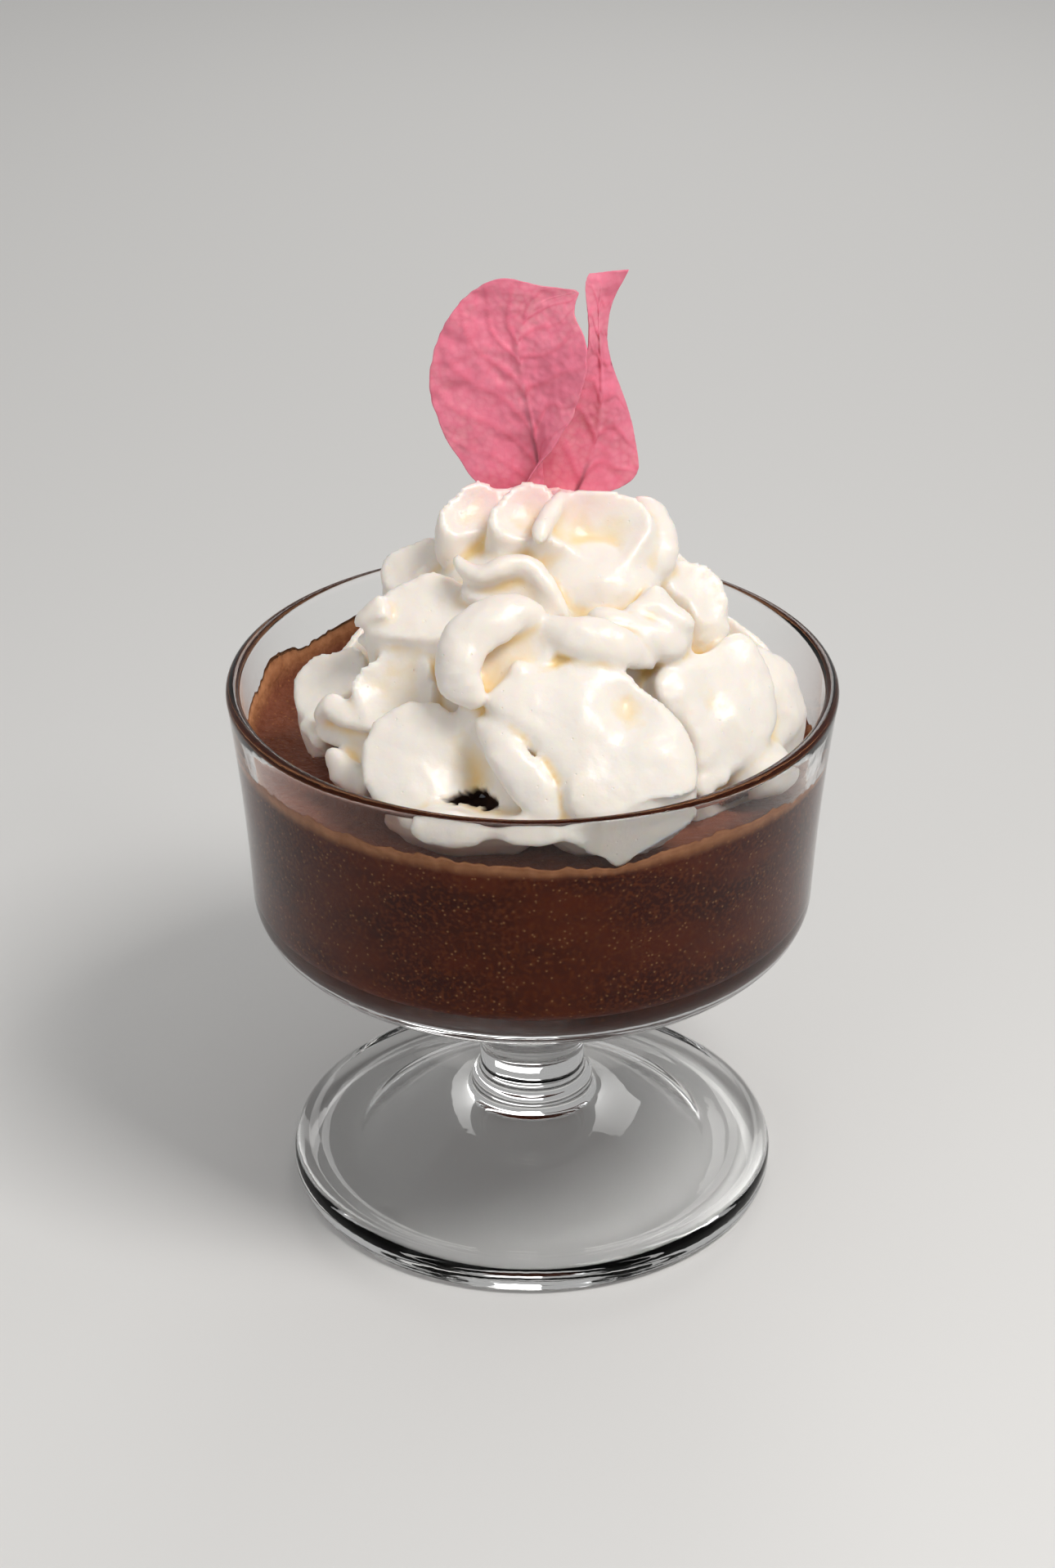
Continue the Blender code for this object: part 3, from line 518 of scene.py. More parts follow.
def petal(bm, middle, looks, rim, hollow=1.0, belly=7.0, lip=0.9, fall=0.0, swell=0.0, dents=(),
          flutes=(0, 1), frill=(0, 0)):
    """A petal: a rounded lip round a shallow hollow, and a wall that falls away behind it"""
    lobe, unit = unit_ball(72, 36)
    angle = np.arctan2(unit[:, 1], unit[:, 0])
    rho = np.minimum(1.0, np.hypot(unit[:, 0], unit[:, 1]))
    reach = smooth_ring(rim, angle / (2 * pi))
    reach = reach * (1 + frill[1] * (np.sin(frill[0] * angle) + 0.6 * np.sin(1.7 * frill[0] * angle + 1.3)))
    right, up, outward = looking(*looks)
    zone = np.minimum(0.9, 2 * lip / reach)
    edge = np.maximum(0.0, (rho - 1.0 + zone) / zone)
    dish = 1.0 - rho ** 2
    x, y = reach * rho * np.cos(angle), reach * rho * np.sin(angle)
    height = lip * np.sqrt(np.maximum(0.0, 1.0 - edge ** 2)) - hollow * dish
    height += flutes[0] * dish * np.cos(2 * pi * x / flutes[1])
    for dx, dy, size, amount in dents:
        height -= amount * np.exp(-((x - dx) ** 2 + (y - dy) ** 2) / size ** 2) * np.minimum(1.0, 3 * dish)
    front = x[:, None] * right + y[:, None] * up + height[:, None] * outward
    down = np.minimum(1.0, (1.0 - rho) / 0.45)
    wide = reach * np.where(down < 1.0, 1.0 + swell * np.sin(pi * down), rho / 0.55)
    sink = (1.0 - fall) * -outward + fall * np.array((0.0, 0.0, -1.0))
    sink /= np.linalg.norm(sink)
    back = (wide * np.cos(angle))[:, None] * right + (wide * np.sin(angle))[:, None] * up
    back = back + (belly * down)[:, None] * sink
    add_lobe(bm, lobe, np.array(middle) + np.where(unit[:, 2:] >= 0, front, back))


def scoop(bm, middle, looks, size, turned):
    """A petal with an oval rim that wavers, differently for each number turned"""
    angles = [2 * pi * k / 16 for k in range(16)]
    oval = [1 / hypot(cos(a) * 2 / size[0], sin(a) * 2 / size[1]) for a in angles]
    wave = [1 + 0.14 * sin(2 * a + turned) + 0.09 * sin(3 * a - 2 * turned) for a in angles]
    rim = [reach * by for reach, by in zip(oval, wave)]
    petal(bm, middle, looks, rim, 1.6, 8, 1.0, fall=0.7, swell=0.06, flutes=(0.35, 6.0), frill=(9, 0.015))


def band(bm, path, looks, widths, depths, groove=0.0):
    """A rounded band of cream along a smooth line"""
    lobe, unit = unit_ball(20, 36)
    t = 0.5 + 0.5 * unit[:, 2]
    ring = np.sqrt(np.maximum(1e-9, 1.0 - unit[:, 2] ** 2))
    end = np.maximum(0.0, 1.0 - np.abs(unit[:, 2]) ** 3.2) ** 0.45
    ahead = smooth_line(path, t + 0.02) - smooth_line(path, t - 0.02)
    outward = looking(eased([look[0] for look in looks], t), eased([look[1] for look in looks], t))[2]
    side = np.cross(ahead, outward)
    side /= np.linalg.norm(side, axis=1, keepdims=True)
    outward = np.cross(side, ahead)
    outward /= np.linalg.norm(outward, axis=1, keepdims=True)
    across = unit[:, 0] / ring
    deep = eased(depths, t) / 2 * unit[:, 1] / ring + groove * across ** 2
    width = eased(widths, t) / 2 * end * across
    add_lobe(bm, lobe, smooth_line(path, t) + side * width[:, None] + outward * (end * deep)[:, None])


BACK_SCOOPS = ((20, 96, 32, 17), (50, 97, 31, 16), (80, 95, 32, 17), (110, 98, 31, 16), (140, 96, 32, 17),
               (165, 97, 30, 15), (35, 109, 20, 14), (75, 110, 19, 13), (115, 109, 20, 13),
               (150, 111, 17, 13), (60, 119, 9, 11), (120, 119, 8, 11))


def build(bm):
    # core
    ball(bm, (2, -1, 84), (30, 29, 33))
    ball(bm, (2, -3, 106), (20, 17, 14))
    # A
    petal(bm, (-9.5, -1, 123.5), (-75, 46), (5.5, 5.5, 5, 4, 4, 5.5, 6, 4, 4, 4.5), hollow=1.8, belly=7,
          fall=0.75, swell=0.06, lip=0.9)
    # B
    petal(bm, (-1.5, -5, 124.5), (-78, 46), (5.5, 6, 5.5, 4.5, 4.5, 5.5, 5.5, 5, 5, 5), hollow=1.8,
          belly=6, fall=0.75, swell=0.06, lip=0.9)
    # C
    petal(bm, (9.5, -8.5, 123.5), (-84, 52), (9, 9.5, 8, 7, 7.5, 7.5, 7.5, 8.5, 6, 5, 5.5, 7, 7.5, 8),
          hollow=4.5, belly=9, fall=0.8, swell=0.13, lip=1)
    # C wall
    ball(bm, (9.5, -9, 114.5), (10.5, 8, 6.5))
    # C lip
    band(bm, ((5, -3, 127.5), (4, -5, 127), (2.5, -7.5, 125.5), (1.5, -10, 124.5), (1, -12.5, 123.5)),
         ((-110, 45), (-110, 45), (-110, 45), (-110, 45), (-110, 45)), (1.5, 2.5, 3, 3, 2.5), (1.5, 2.5, 3,
         3, 2.5))
    # ear
    band(bm, ((16.5, 1, 124.5), (19, -1.5, 123), (20, -4, 120.5), (20, -6.5, 118), (18.5, -9, 115)), ((-60,
         30), (-60, 30), (-60, 30), (-60, 30), (-60, 30)), (3.5, 5, 5.5, 5.5, 4), (3, 4, 5, 5, 4))
    # E
    petal(bm, (-2.5, -16, 117), (-98, 30), (5.5, 4, 4, 4, 4, 4, 4.5, 9, 6.5, 3.5, 3, 3.5, 7, 9.5),
          hollow=0.9, belly=8, fall=0.2, lip=1, dents=((6, -2, 4, -1.2),))
    # E crest
    band(bm, ((-12.5, -12.5, 120.5), (-10, -14.5, 119), (-7.5, -15.5, 119), (-5, -15.5, 120), (-2, -15,
         120.5), (0.5, -15.5, 119.5), (3, -17.5, 117), (5.5, -20, 113.5)), ((-95, 50), (-95, 50), (-95,
         50), (-95, 50), (-95, 50), (-95, 50), (-95, 50), (-95, 50)), (2.5, 3.5, 3.5, 3.5, 3.5, 3.5, 3.5,
         3), (3, 4, 4, 4, 4, 4, 4, 3))
    # F
    petal(bm, (16.5, -21, 111.5), (-76, 30), (7.5, 3.5, 3, 3, 4.5, 8.5, 5.5, 3, 2.5, 3, 4.5, 7.5),
          hollow=-1.2, belly=7, fall=0.2, lip=1.4)
    # F top
    petal(bm, (19, -18, 114), (-72, 58), (4.5, 4, 4.5, 3.5, 3.5, 5, 2.5, 2.5, 3.5, 6.5), hollow=-1,
          belly=8, fall=0.5, lip=1.3)
    # G
    petal(bm, (26, -7, 112), (-62, 40), (5, 5, 5, 5.5, 8, 6, 3, 2.5, 4, 6, 6, 5.5), hollow=1, belly=9,
          fall=0.8, swell=0.05, lip=0.8, frill=(9, 0.02))
    # G low
    petal(bm, (28.5, -8, 106.5), (-60, 25), (3, 2.5, 2.5, 3, 3.5, 3.5, 2.5, 3), hollow=-0.8, belly=7,
          lip=1.4)
    # D1
    petal(bm, (-19, 1, 112.5), (-120, 42), (6.5, 6, 6, 4.5, 4.5, 5.5, 6, 5.5, 5, 5.5), hollow=0.4, belly=9,
          fall=0.8, lip=0.9)
    # D2
    petal(bm, (-16, -14, 112), (-108, 46), (9.5, 9, 7, 6.5, 7, 6.5, 7.5, 9.5, 10.5, 7, 5.5, 5.5, 6, 6.5),
          hollow=0.2, belly=9, fall=0.7, swell=0.05, lip=0.9)
    # D tip
    band(bm, ((-28, -12, 109), (-26, -13, 111), (-23, -13.5, 113)), ((-110, 50), (-110, 50), (-110, 50)),
         (1.2, 3, 6), (1.0, 2.0, 3))
    # D flap
    petal(bm, (-24, -13, 106.5), (-112, 25), (5, 1, 1, 1.5, 4, 2, 2, 2.5), hollow=0.3, belly=7, lip=0.7)
    # H
    petal(bm, (-32.5, -9, 97.5), (-128, 46), (5.5, 6.5, 7, 7, 5, 5, 5.5, 6, 6.5, 7, 7.5, 5.5, 4.5, 4.5),
          hollow=0.9, belly=9, fall=0.6, swell=0.04, lip=1)
    # H lip
    band(bm, ((-34, -17.5, 93.5), (-33, -18, 96.5), (-31.5, -18.5, 97.5), (-29.5, -20, 97), (-27, -21.5,
         96.5), (-24, -24, 97)), ((-125, 50), (-125, 50), (-125, 50), (-125, 50), (-125, 50), (-125, 50)),
         (1.5, 3, 4.5, 4, 3, 2), (1.5, 2.5, 3.5, 3.5, 3, 2))
    # H2
    petal(bm, (-29, -20, 93), (-118, 20), (5.5, 3.5, 2, 2.5, 3.5, 6, 3, 2, 2.5, 5.5), hollow=0.6, belly=8,
          fall=0, lip=0.8)
    # H out
    petal(bm, (-35, -15, 91.5), (-130, 25), (1.5, 1, 1.5, 2.5, 3, 1.5, 1.5, 3), hollow=-0.3, belly=7,
          fall=0.3, lip=0.8)
    # H3
    petal(bm, (-29, -24, 89.5), (-118, 25), (3.5, 2, 1.5, 2, 4.5, 4, 3.5, 3, 3.5, 5), hollow=-0.4, belly=8,
          fall=0.4, lip=0.8, frill=(7, 0.03))
    # I
    petal(bm, (-21.5, -20, 102), (-103, 40), (6.5, 6, 7, 6, 6, 6, 7, 7, 6.5, 6, 6.5, 7), hollow=2.4,
          belly=9, fall=0.5, lip=0.7)
    # J
    petal(bm, (-16, -33, 94.5), (-103, 36), (13, 10.5, 9.5, 9, 10, 10.5, 11, 11, 10.5, 10, 9.5, 9, 10,
          12.5, 14, 18), hollow=0.2, belly=7, fall=0.3, lip=0.9, dents=((6.5, 0.5, 4.2, 3.4), (7.5, -2.2,
          2.6, 1.6), (3, 4.5, 5, 0.6)), frill=(13, 0.012))
    # K
    band(bm, ((2, -22, 114.5), (-1.5, -23, 116), (-5.5, -24.5, 116), (-9.5, -26.5, 114), (-11.5, -28.5,
         111), (-11, -30.5, 108), (-7.5, -32.5, 105)), ((-90, 50), (-95, 50), (-105, 45), (-120, 35),
         (-125, 25), (-115, 20), (-105, 20)), (4, 6, 8, 8, 8, 8, 6), (5, 5.5, 5, 5, 5, 5, 4))
    # K inside
    petal(bm, (-5, -26.5, 110.5), (-98, 36), (8, 9.5, 8, 6, 6, 6.5, 7.5, 8.5, 9, 5.5, 3, 3.5), hollow=1.8,
          belly=6, fall=0, lip=0.8)
    # N
    band(bm, ((0.5, -22, 114), (5, -25, 113.5), (9, -26.5, 113.5), (13.5, -26.5, 112), (19, -23, 107.5)),
         ((-90, 55), (-85, 50), (-80, 45), (-70, 40), (-60, 40)), (4, 6, 7, 6, 3), (5, 5, 5, 4.5, 3))
    # strip
    band(bm, ((-8.5, -31.5, 102), (-6, -35, 101.5), (-4, -38, 99.5), (-1.5, -40, 97), (1, -42, 94), (2,
         -44, 89.5)), ((-108, 36), (-108, 34), (-105, 28), (-100, 22), (-98, 15), (-95, 5)), (3.5, 5, 6,
         6.5, 7, 7), (3, 3.4, 3.4, 3.4, 3.4, 3))
    # L
    petal(bm, (10.5, -36, 101), (-88, 44), (13.5, 12, 11, 10.5, 11.5, 12.5, 13, 13, 14, 18, 17.5, 11.5,
          9.5, 9, 9.5, 12.5, 13.5, 14.5, 15, 16, 16, 15), hollow=-1, belly=5.5, fall=0.8, lip=1.8,
          dents=((4.5, 4.5, 4.5, 2.4), (8, -3, 3.5, -1.0), (-2, 1, 5.0, -0.8)))
    # L peak
    band(bm, ((-2.5, -27.5, 110.5), (-2, -29, 109), (-0.5, -29.5, 107), (2, -31, 104.5)), ((-95, 45), (-95,
         45), (-95, 45), (-95, 45)), (1.0, 4.0, 9, 14), (1.2, 2.6, 3.6, 4))
    # L roll
    band(bm, ((-5.5, -30.5, 105.5), (-2, -32, 104), (2, -33.5, 102), (6, -35.5, 98.5), (9, -38.5, 95),
         (10.5, -41.5, 90)), ((-112, 38), (-112, 38), (-108, 34), (-105, 28), (-100, 18), (-95, 8)), (5, 7,
         9, 10, 11, 11), (5, 6.5, 7.5, 7.5, 7, 6))
    # L body
    ball(bm, (10, -33.5, 91), (13, 9, 10))
    # plugs
    ball(bm, (4.6, -24, 107.2), (5, 4, 4.5))
    ball(bm, (-7.7, -27.5, 100.5), (4, 4, 4))
    # M
    petal(bm, (35, -14, 94.5), (-48, 32), (11, 11.5, 11, 11, 11.5, 10, 10, 10.5, 13, 17, 12, 9.5, 8, 8, 9,
          11), hollow=-1.5, belly=9, fall=0.9, lip=1.5, flutes=(0.3, 6.0), dents=((0.5, -2.5, 2.6, 1.2),))
    # M wide
    petal(bm, (30, -21, 99), (-55, 34), (10, 11, 12.5, 9.5, 9.5, 12, 12.5, 9.5, 9.5, 13.5, 11, 10, 9.5,
          10), hollow=-1.2, belly=9, fall=0.2, lip=1, flutes=(0.35, 7.5), dents=((-3.5, 3, 3, 0.8),))
    # M wedge
    petal(bm, (26.5, -26.5, 94.5), (-58, 30), (3, 5, 4, 3.5, 2.5, 4, 3, 2), hollow=0.2, belly=8, fall=0.1,
          lip=0.8)
    # M foot
    petal(bm, (27.5, -30, 90.5), (-62, 20), (4, 2.5, 2, 2, 3, 3, 2, 2), hollow=-0.3, belly=7, fall=0.1,
          lip=0.8)
    ball(bm, (34, -20, 88), (7, 6.5, 4.5))
    # film
    petal(bm, (-6.5, -43, 89.5), (-97, 12), (11.5, 3, 1.5, 1.5, 1.5, 3, 12, 5.5, 2, 1.5, 1.5, 2.5),
          hollow=-0.2, belly=4, fall=0, lip=0.7)
    # drip
    petal(bm, (12.5, -43, 89.5), (-80, 12), (6.5, 6.5, 3, 2.5, 2, 2.5, 3, 6, 8.5, 5, 4, 4.5, 5.5, 5, 4,
          4.5), hollow=-0.3, belly=4, fall=0, lip=0.8)
    for i, (turned, z, out, size) in enumerate(BACK_SCOOPS):
        middle = (3 + out * cos(radians(turned)), 0.95 * out * sin(radians(turned)), z)
        looks = (turned + 12 * (-1) ** i, 33 + 10 * sin(2.1 * i))
        scoop(bm, middle, looks, (size + 8, size + 4), 1.7 * i)


# %% [markdown]
# The lobes overlap freely. Voxel Remesh keeps the skin round all of them, and what is closed off
# inside is dropped. Then the skin is relaxed only where it is hollow, which fills the sharpest
# valleys as flowing cream does and leaves the lips crisp. How much each place was filled is kept,
# because the folds get painted shade: a yellow tint for the light that bounces inside them.
# %% Fuse, settle and soften
CREAM_VOXEL = 0.625 * MM


def evaluated(made):
    """A mesh of an object with its modifiers worked out"""
    graph = bpy.context.evaluated_depsgraph_get()
    graph.update()
    return bpy.data.meshes.new_from_object(made.evaluated_get(graph))


def largest_piece(mesh):
    """Keep only the connected piece with the most faces"""
    bm = bmesh.new()
    bm.from_mesh(mesh)
    left = set(bm.faces)
    pieces = []
    while left:
        piece = [left.pop()]
        for face in piece:
            for edge in face.edges:
                for other in edge.link_faces:
                    if other in left:
                        left.remove(other)
                        piece.append(other)
        pieces.append(piece)
    pieces.sort(key=len)
    inner = [face for piece in pieces[:-1] for face in piece]
    bmesh.ops.delete(bm, geom=inner, context="FACES")
    bm.to_mesh(mesh)
    bm.free()


def settle(mesh):
    """Rest the cream on the mousse and keep it inside the bowl"""
    x, y, z = read_places(mesh).T
    radius = np.hypot(x, y)
    free = inner_radius(np.minimum(z, WALL_TOP)) - 0.3 * MM
    pull = np.where((z < RIM_HEIGHT + 1 * MM) & (radius > free), free / np.maximum(radius, MM), 1.0)
    x, y = x * pull, y * pull
    write_places(mesh, np.stack([x, y, np.maximum(z, mousse_top(x, y) - 0.1 * MM)], -1))


def ruffle(mesh):
    """Bend the skin a little, unevenly, so that no lip is a perfect arc"""
    places = read_places(mesh)
    bend = [0.5 * noise.noise_vector(Vector(p) * 0.15 / MM) + 0.13 * noise.noise_vector(Vector(p) * 0.5 / MM)
            for p in places]
    write_places(mesh, places + np.array(bend) * MM)


def relax(mesh, rounds, share):
    """Move vertices towards the middle of their neighbours by a share, which says what is hollow"""
    start = places = read_places(mesh)
    ends = np.empty(len(mesh.edges) * 2, np.int32)
    mesh.edges.foreach_get("vertices", ends)
    one, other = ends.reshape(-1, 2).T
    count = len(places)
    degree = np.bincount(ends, minlength=count)[:, None]
    normals = np.empty(count * 3, np.float32)
    for i in range(rounds):
        if i % 4 == 0:
            write_places(mesh, places)
            mesh.vertex_normals.foreach_get("vector", normals)
        near = np.stack([np.bincount(one, places[other, k], count) + np.bincount(other, places[one, k], count)
                         for k in range(3)], -1)
        pull = near / degree - places
        inward = (pull * normals.reshape(-1, 3)).sum(1, keepdims=True)
        places = places + pull * np.where(inward > 0, share[0], share[1])
    write_places(mesh, places)
    return start, places, normals.reshape(-1, 3)


def sharpen_lips(mesh, rounds, amount):
    """Push out what stands proud of its smoothed neighbourhood, so that lips get thin and crisp"""
    start, smooth, normals = relax(mesh, rounds, (0.7, 0.7))
    proud = ((start - smooth) * normals).sum(1, keepdims=True)
    write_places(mesh, start + normals * np.minimum(amount * np.maximum(proud, 0), 0.5 * MM))


def fill_creases(mesh, rounds):
    """Fill the skin where it is hollow at a small scale; says how much each vertex was filled"""
    start, places, normals = relax(mesh, rounds, (0.9, 0.06))
    return np.linalg.norm(places - start, axis=1)


def hollowness(mesh, rounds):
    """How far the skin lies below its smoothed self, so how deep in a fold each vertex is"""
    start, smooth, normals = relax(mesh, rounds, (0.7, 0.7))
    write_places(mesh, start)
    return np.maximum(0.0, ((smooth - start) * normals).sum(1))
bm = bmesh.new()
build(bm)
bmesh.ops.scale(bm, vec=(MM, MM, MM), verts=bm.verts)
lobes = bpy.data.objects.new("lobes", mesh_of(bm, "lobes"))
bpy.context.scene.collection.objects.link(lobes)
fuse = lobes.modifiers.new("fuse", "REMESH")
fuse.mode = "VOXEL"
fuse.voxel_size = CREAM_VOXEL
fuse.use_smooth_shade = True
cream_mesh = evaluated(lobes)
bpy.data.objects.remove(lobes)
largest_piece(cream_mesh)
filled = fill_creases(cream_mesh, 5)
ruffle(cream_mesh)
sunken = hollowness(cream_mesh, 30)
sharpen_lips(cream_mesh, 8, 0.7)
filled += fill_creases(cream_mesh, 5)
settle(cream_mesh)
print("cream:", len(cream_mesh.vertices), "vertices, filled at most", round(float(filled.max()) / MM, 2), "mm")

# %% [markdown]
# One petal in front has a torn slit where its lower lip folded up, and through it the dark inside
# shows. The skin there is pushed in within a slim, ragged oval, along the way the petal looks.
# %% Tear the slit
SLIT = Vector((-9.6, -37.6, 92.2)) * MM
SLIT_LOOKS = (-103, 36)
SLIT_SIZE = (3.9 * MM, 1.15 * MM)
SLIT_DEPTH = 5.0 * MM
where = read_places(cream_mesh)
right, up, outward = looking(*SLIT_LOOKS)
across, along = (where - SLIT) @ right, (where - SLIT) @ up
near = np.abs((where - SLIT) @ outward) < 6 * MM
jag = np.zeros(len(where))
jag[near] = [noise.noise(Vector(p) * 620) + 0.5 * noise.noise(Vector(p) * 1700) for p in where[near]]
along = along + 0.05 * across ** 2 / MM + 0.75 * MM * jag
widen = 1.0 + 0.35 * np.clip(across / SLIT_SIZE[0], -1, 1)
oval = np.clip(1.3 - np.hypot(across / SLIT_SIZE[0], along / (SLIT_SIZE[1] * widen)), 0, 1)
torn = np.where(near, np.minimum(1.0, 2.2 * oval), 0.0)
write_places(cream_mesh, where - outward * (SLIT_DEPTH * torn ** 1.5)[:, None])

# %% [markdown]
# Deep folds are found from the filled amount, for painted shade: a yellow tint for the light that
# bounces inside them. The foot of the bracts is found from the distance to where they stand, for a
# painted pink glow, the light that the bracts throw on the cream. Both are kept as numbers on the
# vertices, and so is the slit.
# %% Marks for the finish
from_bracts = (where - np.array((3.5, 4.0, 126.0)) * MM) / (np.array((11, 7, 6)) * MM)
store(cream_mesh, "painted_fold_shade", filled / (0.9 * MM) + sunken / (1.5 * MM) - 0.1)
store(cream_mesh, "painted_pink_glow", 1.6 - np.linalg.norm(from_bracts, axis=1))
store(cream_mesh, "torn", torn)

# %% [markdown]
# Cream is white because light scatters inside it, and its own colour is a warm ivory. Subsurface
# scattering a millimetre deep gives the soft shadows. The surface is moist, with a faint grain and
# pinholes of broken bubbles.
# %% Cream finish
cream_finish, tree, shader = start_finish("whipped cream")
ivory = add_mix(tree, add_noise(tree, 90.0, 2.0), (0.87, 0.805, 0.735), (0.88, 0.835, 0.785))
# painted shade: the folds are tinted yellow for the light that bounces inside them
deep = add_ramp(tree, add_attribute(tree, "painted_fold_shade"), (0.10, 0.0), (0.9, 1.0))
ivory = add_mix(tree, deep, ivory, (0.88, 0.65, 0.30))
# painted pink glow near the bracts' foot, for the light they throw on the cream
ivory = add_mix(tree, add_attribute(tree, "painted_pink_glow"), ivory, (0.89, 0.64, 0.62))
inside = add_ramp(tree, add_attribute(tree, "torn"), (0.2, 0.0), (0.65, 1.0))
ivory = add_mix(tree, inside, ivory, (0.035, 0.012, 0.006))
tree.links.new(ivory, shader.inputs["Base Color"])
tree.links.new(add_ramp(tree, inside, (0.0, 0.34), (0.6, 0.95)), shader.inputs["Roughness"])
set_inputs(shader, Subsurface_Weight=1.0, Subsurface_Radius=(1.0, 0.75, 0.5), Subsurface_Scale=1.3 * MM)
pinholes = add_ramp(tree, add_cells(tree, 420.0), (0.0, 0.0), (0.09, 1.0))
add_bump(tree, shader, (add_noise(tree, 150.0, 2.0), 0.5 * MM), (add_noise(tree, 900.0, 2.0), 0.06 * MM), (pinholes, 0.12 * MM))
cream = add_piece("whipped_cream", cream_mesh, cream_finish, "cream")

# %% [markdown]
# ## The two bracts
# The pink leaves of a bougainvillea are bracts: papery, a few tenths of a millimetre thick, with
# a midrib, curved side veins and a crinkled blade with a slightly ragged margin. Each starts as a
# fine grid. Three smooth lines from its foot to its tip, its two margins and its midrib, say where
# the grid's vertices go, and so give the outline and the folds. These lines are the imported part's
# own, in millimetres.
# %% Lines of the bracts
LEFT_BRACT = (
    ((0.3, 4.7, 122.2), (-8.1, 4.5, 125.4), (-12.7, 5.7, 131.3), (-15.7, 6.6, 138.3),
     (-16.0, 7.0, 145.4), (-13.9, 7.2, 151.8), (-9.6, 7.2, 157.1), (-5.0, 6.7, 159.6),
     (1.1, 6.2, 158.6), (6.7, 5.2, 158.2)),
    ((1.6, 4.7, 122.2), (1.1, 4.2, 128.4), (-0.4, 4.7, 137.0), (-1.9, 5.7, 145.2), (-2.2, 6.2, 150.4),
     (1.0, 6.2, 155.5), (6.9, 5.2, 158.0)),
    ((2.7, 2.2, 122.7), (-1.0, 0.9, 126.9), (3.7, 0.7, 134.6), (7.0, 0.7, 140.8), (8.4, 1.2, 149.9),
     (6.5, 4.2, 154.7), (7.2, 5.2, 157.8)),
)
RIGHT_BRACT = (
    ((-1.2, 6.6, 122.4), (-0.2, 6.6, 132.3), (4.4, 5.9, 139.3), (8.0, 4.8, 146.2), (8.8, 4.4, 151.6),
     (8.2, 5.6, 158.5), (8.8, 6.4, 160.5)),
    ((6.6, 7.2, 122.4), (9.9, 8.2, 131.2), (10.9, 7.7, 139.3), (10.7, 7.0, 146.4), (10.3, 6.4, 152.4),
     (10.5, 6.0, 158.0), (11.5, 6.2, 160.9)),
    ((9.6, 7.2, 122.4), (14.0, 9.0, 123.4), (16.9, 10.2, 125.8), (16.4, 10.2, 131.3),
     (14.9, 10.2, 137.3), (12.5, 9.2, 144.4), (11.7, 8.2, 149.4), (12.3, 7.7, 155.0), (14.9, 6.2, 161.2)),
)
BRACT_ROWS = 110
BRACT_COLUMNS = 70
BRACT_THICK = 0.28 * MM


def vein_field(t, u, count, climb):
    """How close a place is to a side vein, 0 to 1; t runs foot to tip, u from the midrib out"""
    veins = 0.0 * t
    for k in range(count):
        start = 0.06 + 0.8 * k / count
        width = 0.007 + 0.006 * (1 - np.abs(u))
        away = t - start - climb * np.abs(u) ** 0.8 - 0.012 * np.sin(9 * u + 5 * k) - 0.01 * (u > 0)
        veins = np.maximum(veins, np.exp(-(away / width) ** 2) * (1 - 0.6 * np.abs(u)))
    return veins


def bumps(places, scale):
    """Smooth unevenness from about -0.5 to 0.5 at many places"""
    return np.array([noise.noise(Vector(place) * scale) for place in places])


def make_bract(name, lines, veins, dark_share):
    """Finished sheet of a bract: place, crinkle and vein its grid, then give it thickness; the
    midrib is painted dark from its foot up to the given share of its length, partly its own
    darker colour and partly painted shadow in the crease where it goes in"""
    bm = bmesh.new()
    bmesh.ops.create_grid(bm, x_segments=BRACT_COLUMNS, y_segments=BRACT_ROWS, size=1.0)
    flat = np.array([v.co for v in bm.verts])
    u, t = flat[:, 0], 0.5 + 0.5 * flat[:, 1]
    one, rib, other = (smooth_line(line, t) for line in lines)
    ragged = 0.05 * bumps(np.stack([t, u > 0, 0 * t], -1), 9) + 0.035 * bumps(np.stack([t, u > 0, 0 * t], -1), 34)
    w = (u * (1 + ragged * u ** 6))[:, None]
    places = np.where(w < 0, through(one, one, rib, other, 1 + w), through(one, rib, other, other, w))
    vein = vein_field(t, u, *veins)
    midrib = np.exp(-(u / (0.035 + 0.03 * (1 - t))) ** 2)
    crinkle = 0.8 * bumps(places, 0.16) + 0.45 * bumps(places, 0.45) + 0.16 * bumps(places, 1.2)
    fade = np.minimum(1.0, 2.5 * (1 - t))
    lift = crinkle * (0.3 + 0.7 * np.sin(pi * t)) - fade * (0.26 * vein + 0.28 * midrib)
    mark = bm.verts.layers.float.new("vein")
    stalk = bm.verts.layers.float.new("midrib")
    # darker midrib from the foot up: partly its own colour, partly painted shadow in its crease
    dark = midrib ** 2 * np.sqrt(np.maximum(0.0, 1 - t / dark_share))
    for v, p, up, a, b in zip(bm.verts, places, lift, vein, dark):
        v.co = (p + np.array((0, up, 0))) * MM
        v[mark] = a
        v[stalk] = b
    bmesh.ops.recalc_face_normals(bm, faces=bm.faces)
    sheet = mesh_of(bm, name)
    holder = bpy.data.objects.new(name + "_sheet", sheet)
    bpy.context.scene.collection.objects.link(holder)
    shell = holder.modifiers.new("thickness", "SOLIDIFY")
    shell.thickness = BRACT_THICK
    shell.offset = 0.0
    made = evaluated(holder)
    bpy.data.objects.remove(holder)
    return made


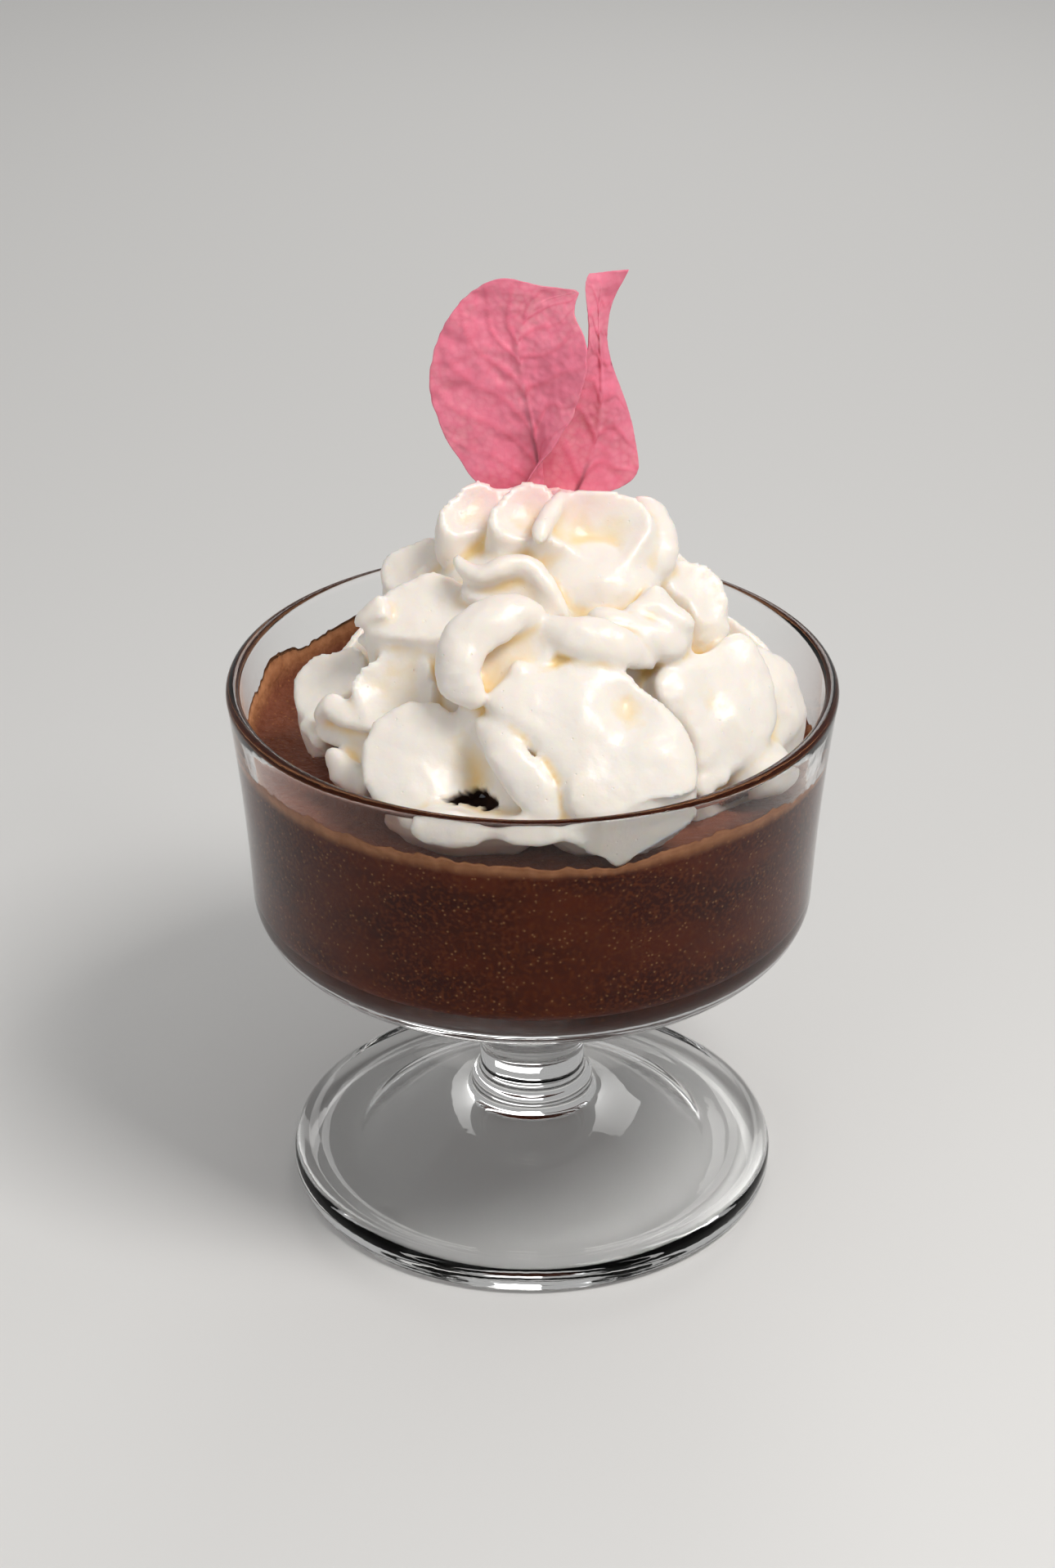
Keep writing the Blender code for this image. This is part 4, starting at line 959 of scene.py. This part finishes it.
# %% [markdown]
# The bract's pink is strongest along the fold and beside the veins, and paler, almost salmon, low
# on the blade. The veins are stored on the vertices, and a fine net of smaller ones comes from
# cells. Light passes through such thin tissue, so a little subsurface scattering softens it.
# %% Bract finish
bract_finish, tree, shader = start_finish("bougainvillea bract")
blush = add_ramp(tree, add_noise(tree, 110.0, 3.0), (0.35, 0.0), (0.65, 1.0))
pink = add_mix(tree, blush, (0.84, 0.215, 0.320), (0.84, 0.280, 0.355))
net = add_ramp(tree, add_cells(tree, 900.0), (0.3, 0.0), (0.9, 1.0))
pink = add_mix(tree, net, pink, (0.81, 0.190, 0.290))
pink = add_mix(tree, add_attribute(tree, "vein"), pink, (0.78, 0.155, 0.245))
pink = add_mix(tree, add_attribute(tree, "midrib"), pink, (0.16, 0.03, 0.045))
tree.links.new(pink, shader.inputs["Base Color"])
set_inputs(shader, Roughness=0.55, Subsurface_Weight=0.25, Subsurface_Radius=(0.6, 0.2, 0.2), Subsurface_Scale=0.5 * MM)
add_bump(tree, shader, (add_noise(tree, 900.0, 3.0), 0.07 * MM), (add_cells(tree, 900.0), 0.05 * MM))
left = make_bract("bract_leaf_left", LEFT_BRACT, (7, 0.22), 0.45)
right = make_bract("bract_leaf_right", RIGHT_BRACT, (6, 0.16), 0.12)
add_piece("bract_leaf_left", left, bract_finish, "bract_left")
add_piece("bract_leaf_right", right, bract_finish, "bract_right")

# %% [markdown]
# ## Floor, light and camera
# The stage is plain, so that the dish speaks for itself: a pale floor that reaches past the edge
# of the view, a large soft light overhead, a weaker one from the side and an even sky for the
# rest. Large lights suit glass, because their reflections are broad and calm.
# %% Floor
bm = bmesh.new()
bmesh.ops.create_grid(bm, x_segments=1, y_segments=1, size=4.0)
bmesh.ops.translate(bm, verts=bm.verts, vec=(0, 0, -0.2 * MM))
floor = bpy.data.objects.new("floor", mesh_of(bm, "floor"))
bpy.context.scene.collection.objects.link(floor)
floor_finish, tree, shader = start_finish("pale floor")
set_inputs(shader, Base_Color=(0.77, 0.765, 0.755, 1), Roughness=0.75)
floor.data.materials.append(floor_finish)

# %% Light


def add_light(name, place, target, size, power, colour):
    """A square soft light that faces a point"""
    lamp = bpy.data.lights.new(name, "AREA")
    lamp.size = size
    lamp.energy = power
    lamp.color = colour
    holder = bpy.data.objects.new(name, lamp)
    holder.location = place
    holder.rotation_euler = (Vector(target) - Vector(place)).to_track_quat("-Z", "Y").to_euler()
    bpy.context.scene.collection.objects.link(holder)


sky = bpy.data.worlds.new("sky")
sky.use_nodes = True
set_inputs(sky.node_tree.nodes["Background"], Color=(1.0, 0.995, 0.985, 1), Strength=0.38)
bpy.context.scene.world = sky
middle = (0.0, 0.0, 0.09)
add_light("key", (0.24, -0.22, 0.58), middle, 0.20, 2.35, (1.0, 0.98, 0.955))
add_light("fill", (-0.55, -0.65, 0.45), middle, 0.6, 1.1, (0.97, 0.985, 1.0))
add_light("back", (0.10, 0.75, 0.50), middle, 0.3, 0.9, (1.0, 0.99, 0.97))
bpy.context.scene.view_settings.view_transform = "Standard"

# %% Camera
DISTANCE = 0.5438
ELEVATION = radians(28.57)
aim = Vector((-0.0008, 0.0, 0.0737))
camera = bpy.data.objects.new("camera", bpy.data.cameras.new("camera"))
camera.data.lens = 75.08
camera.data.sensor_width = 36.0
camera.data.clip_start = 0.01
camera.location = aim + Vector((0, -DISTANCE * cos(ELEVATION), DISTANCE * sin(ELEVATION)))
camera.rotation_euler = (pi / 2 - ELEVATION, 0, 0)
bpy.context.scene.collection.objects.link(camera)
bpy.context.scene.camera = camera
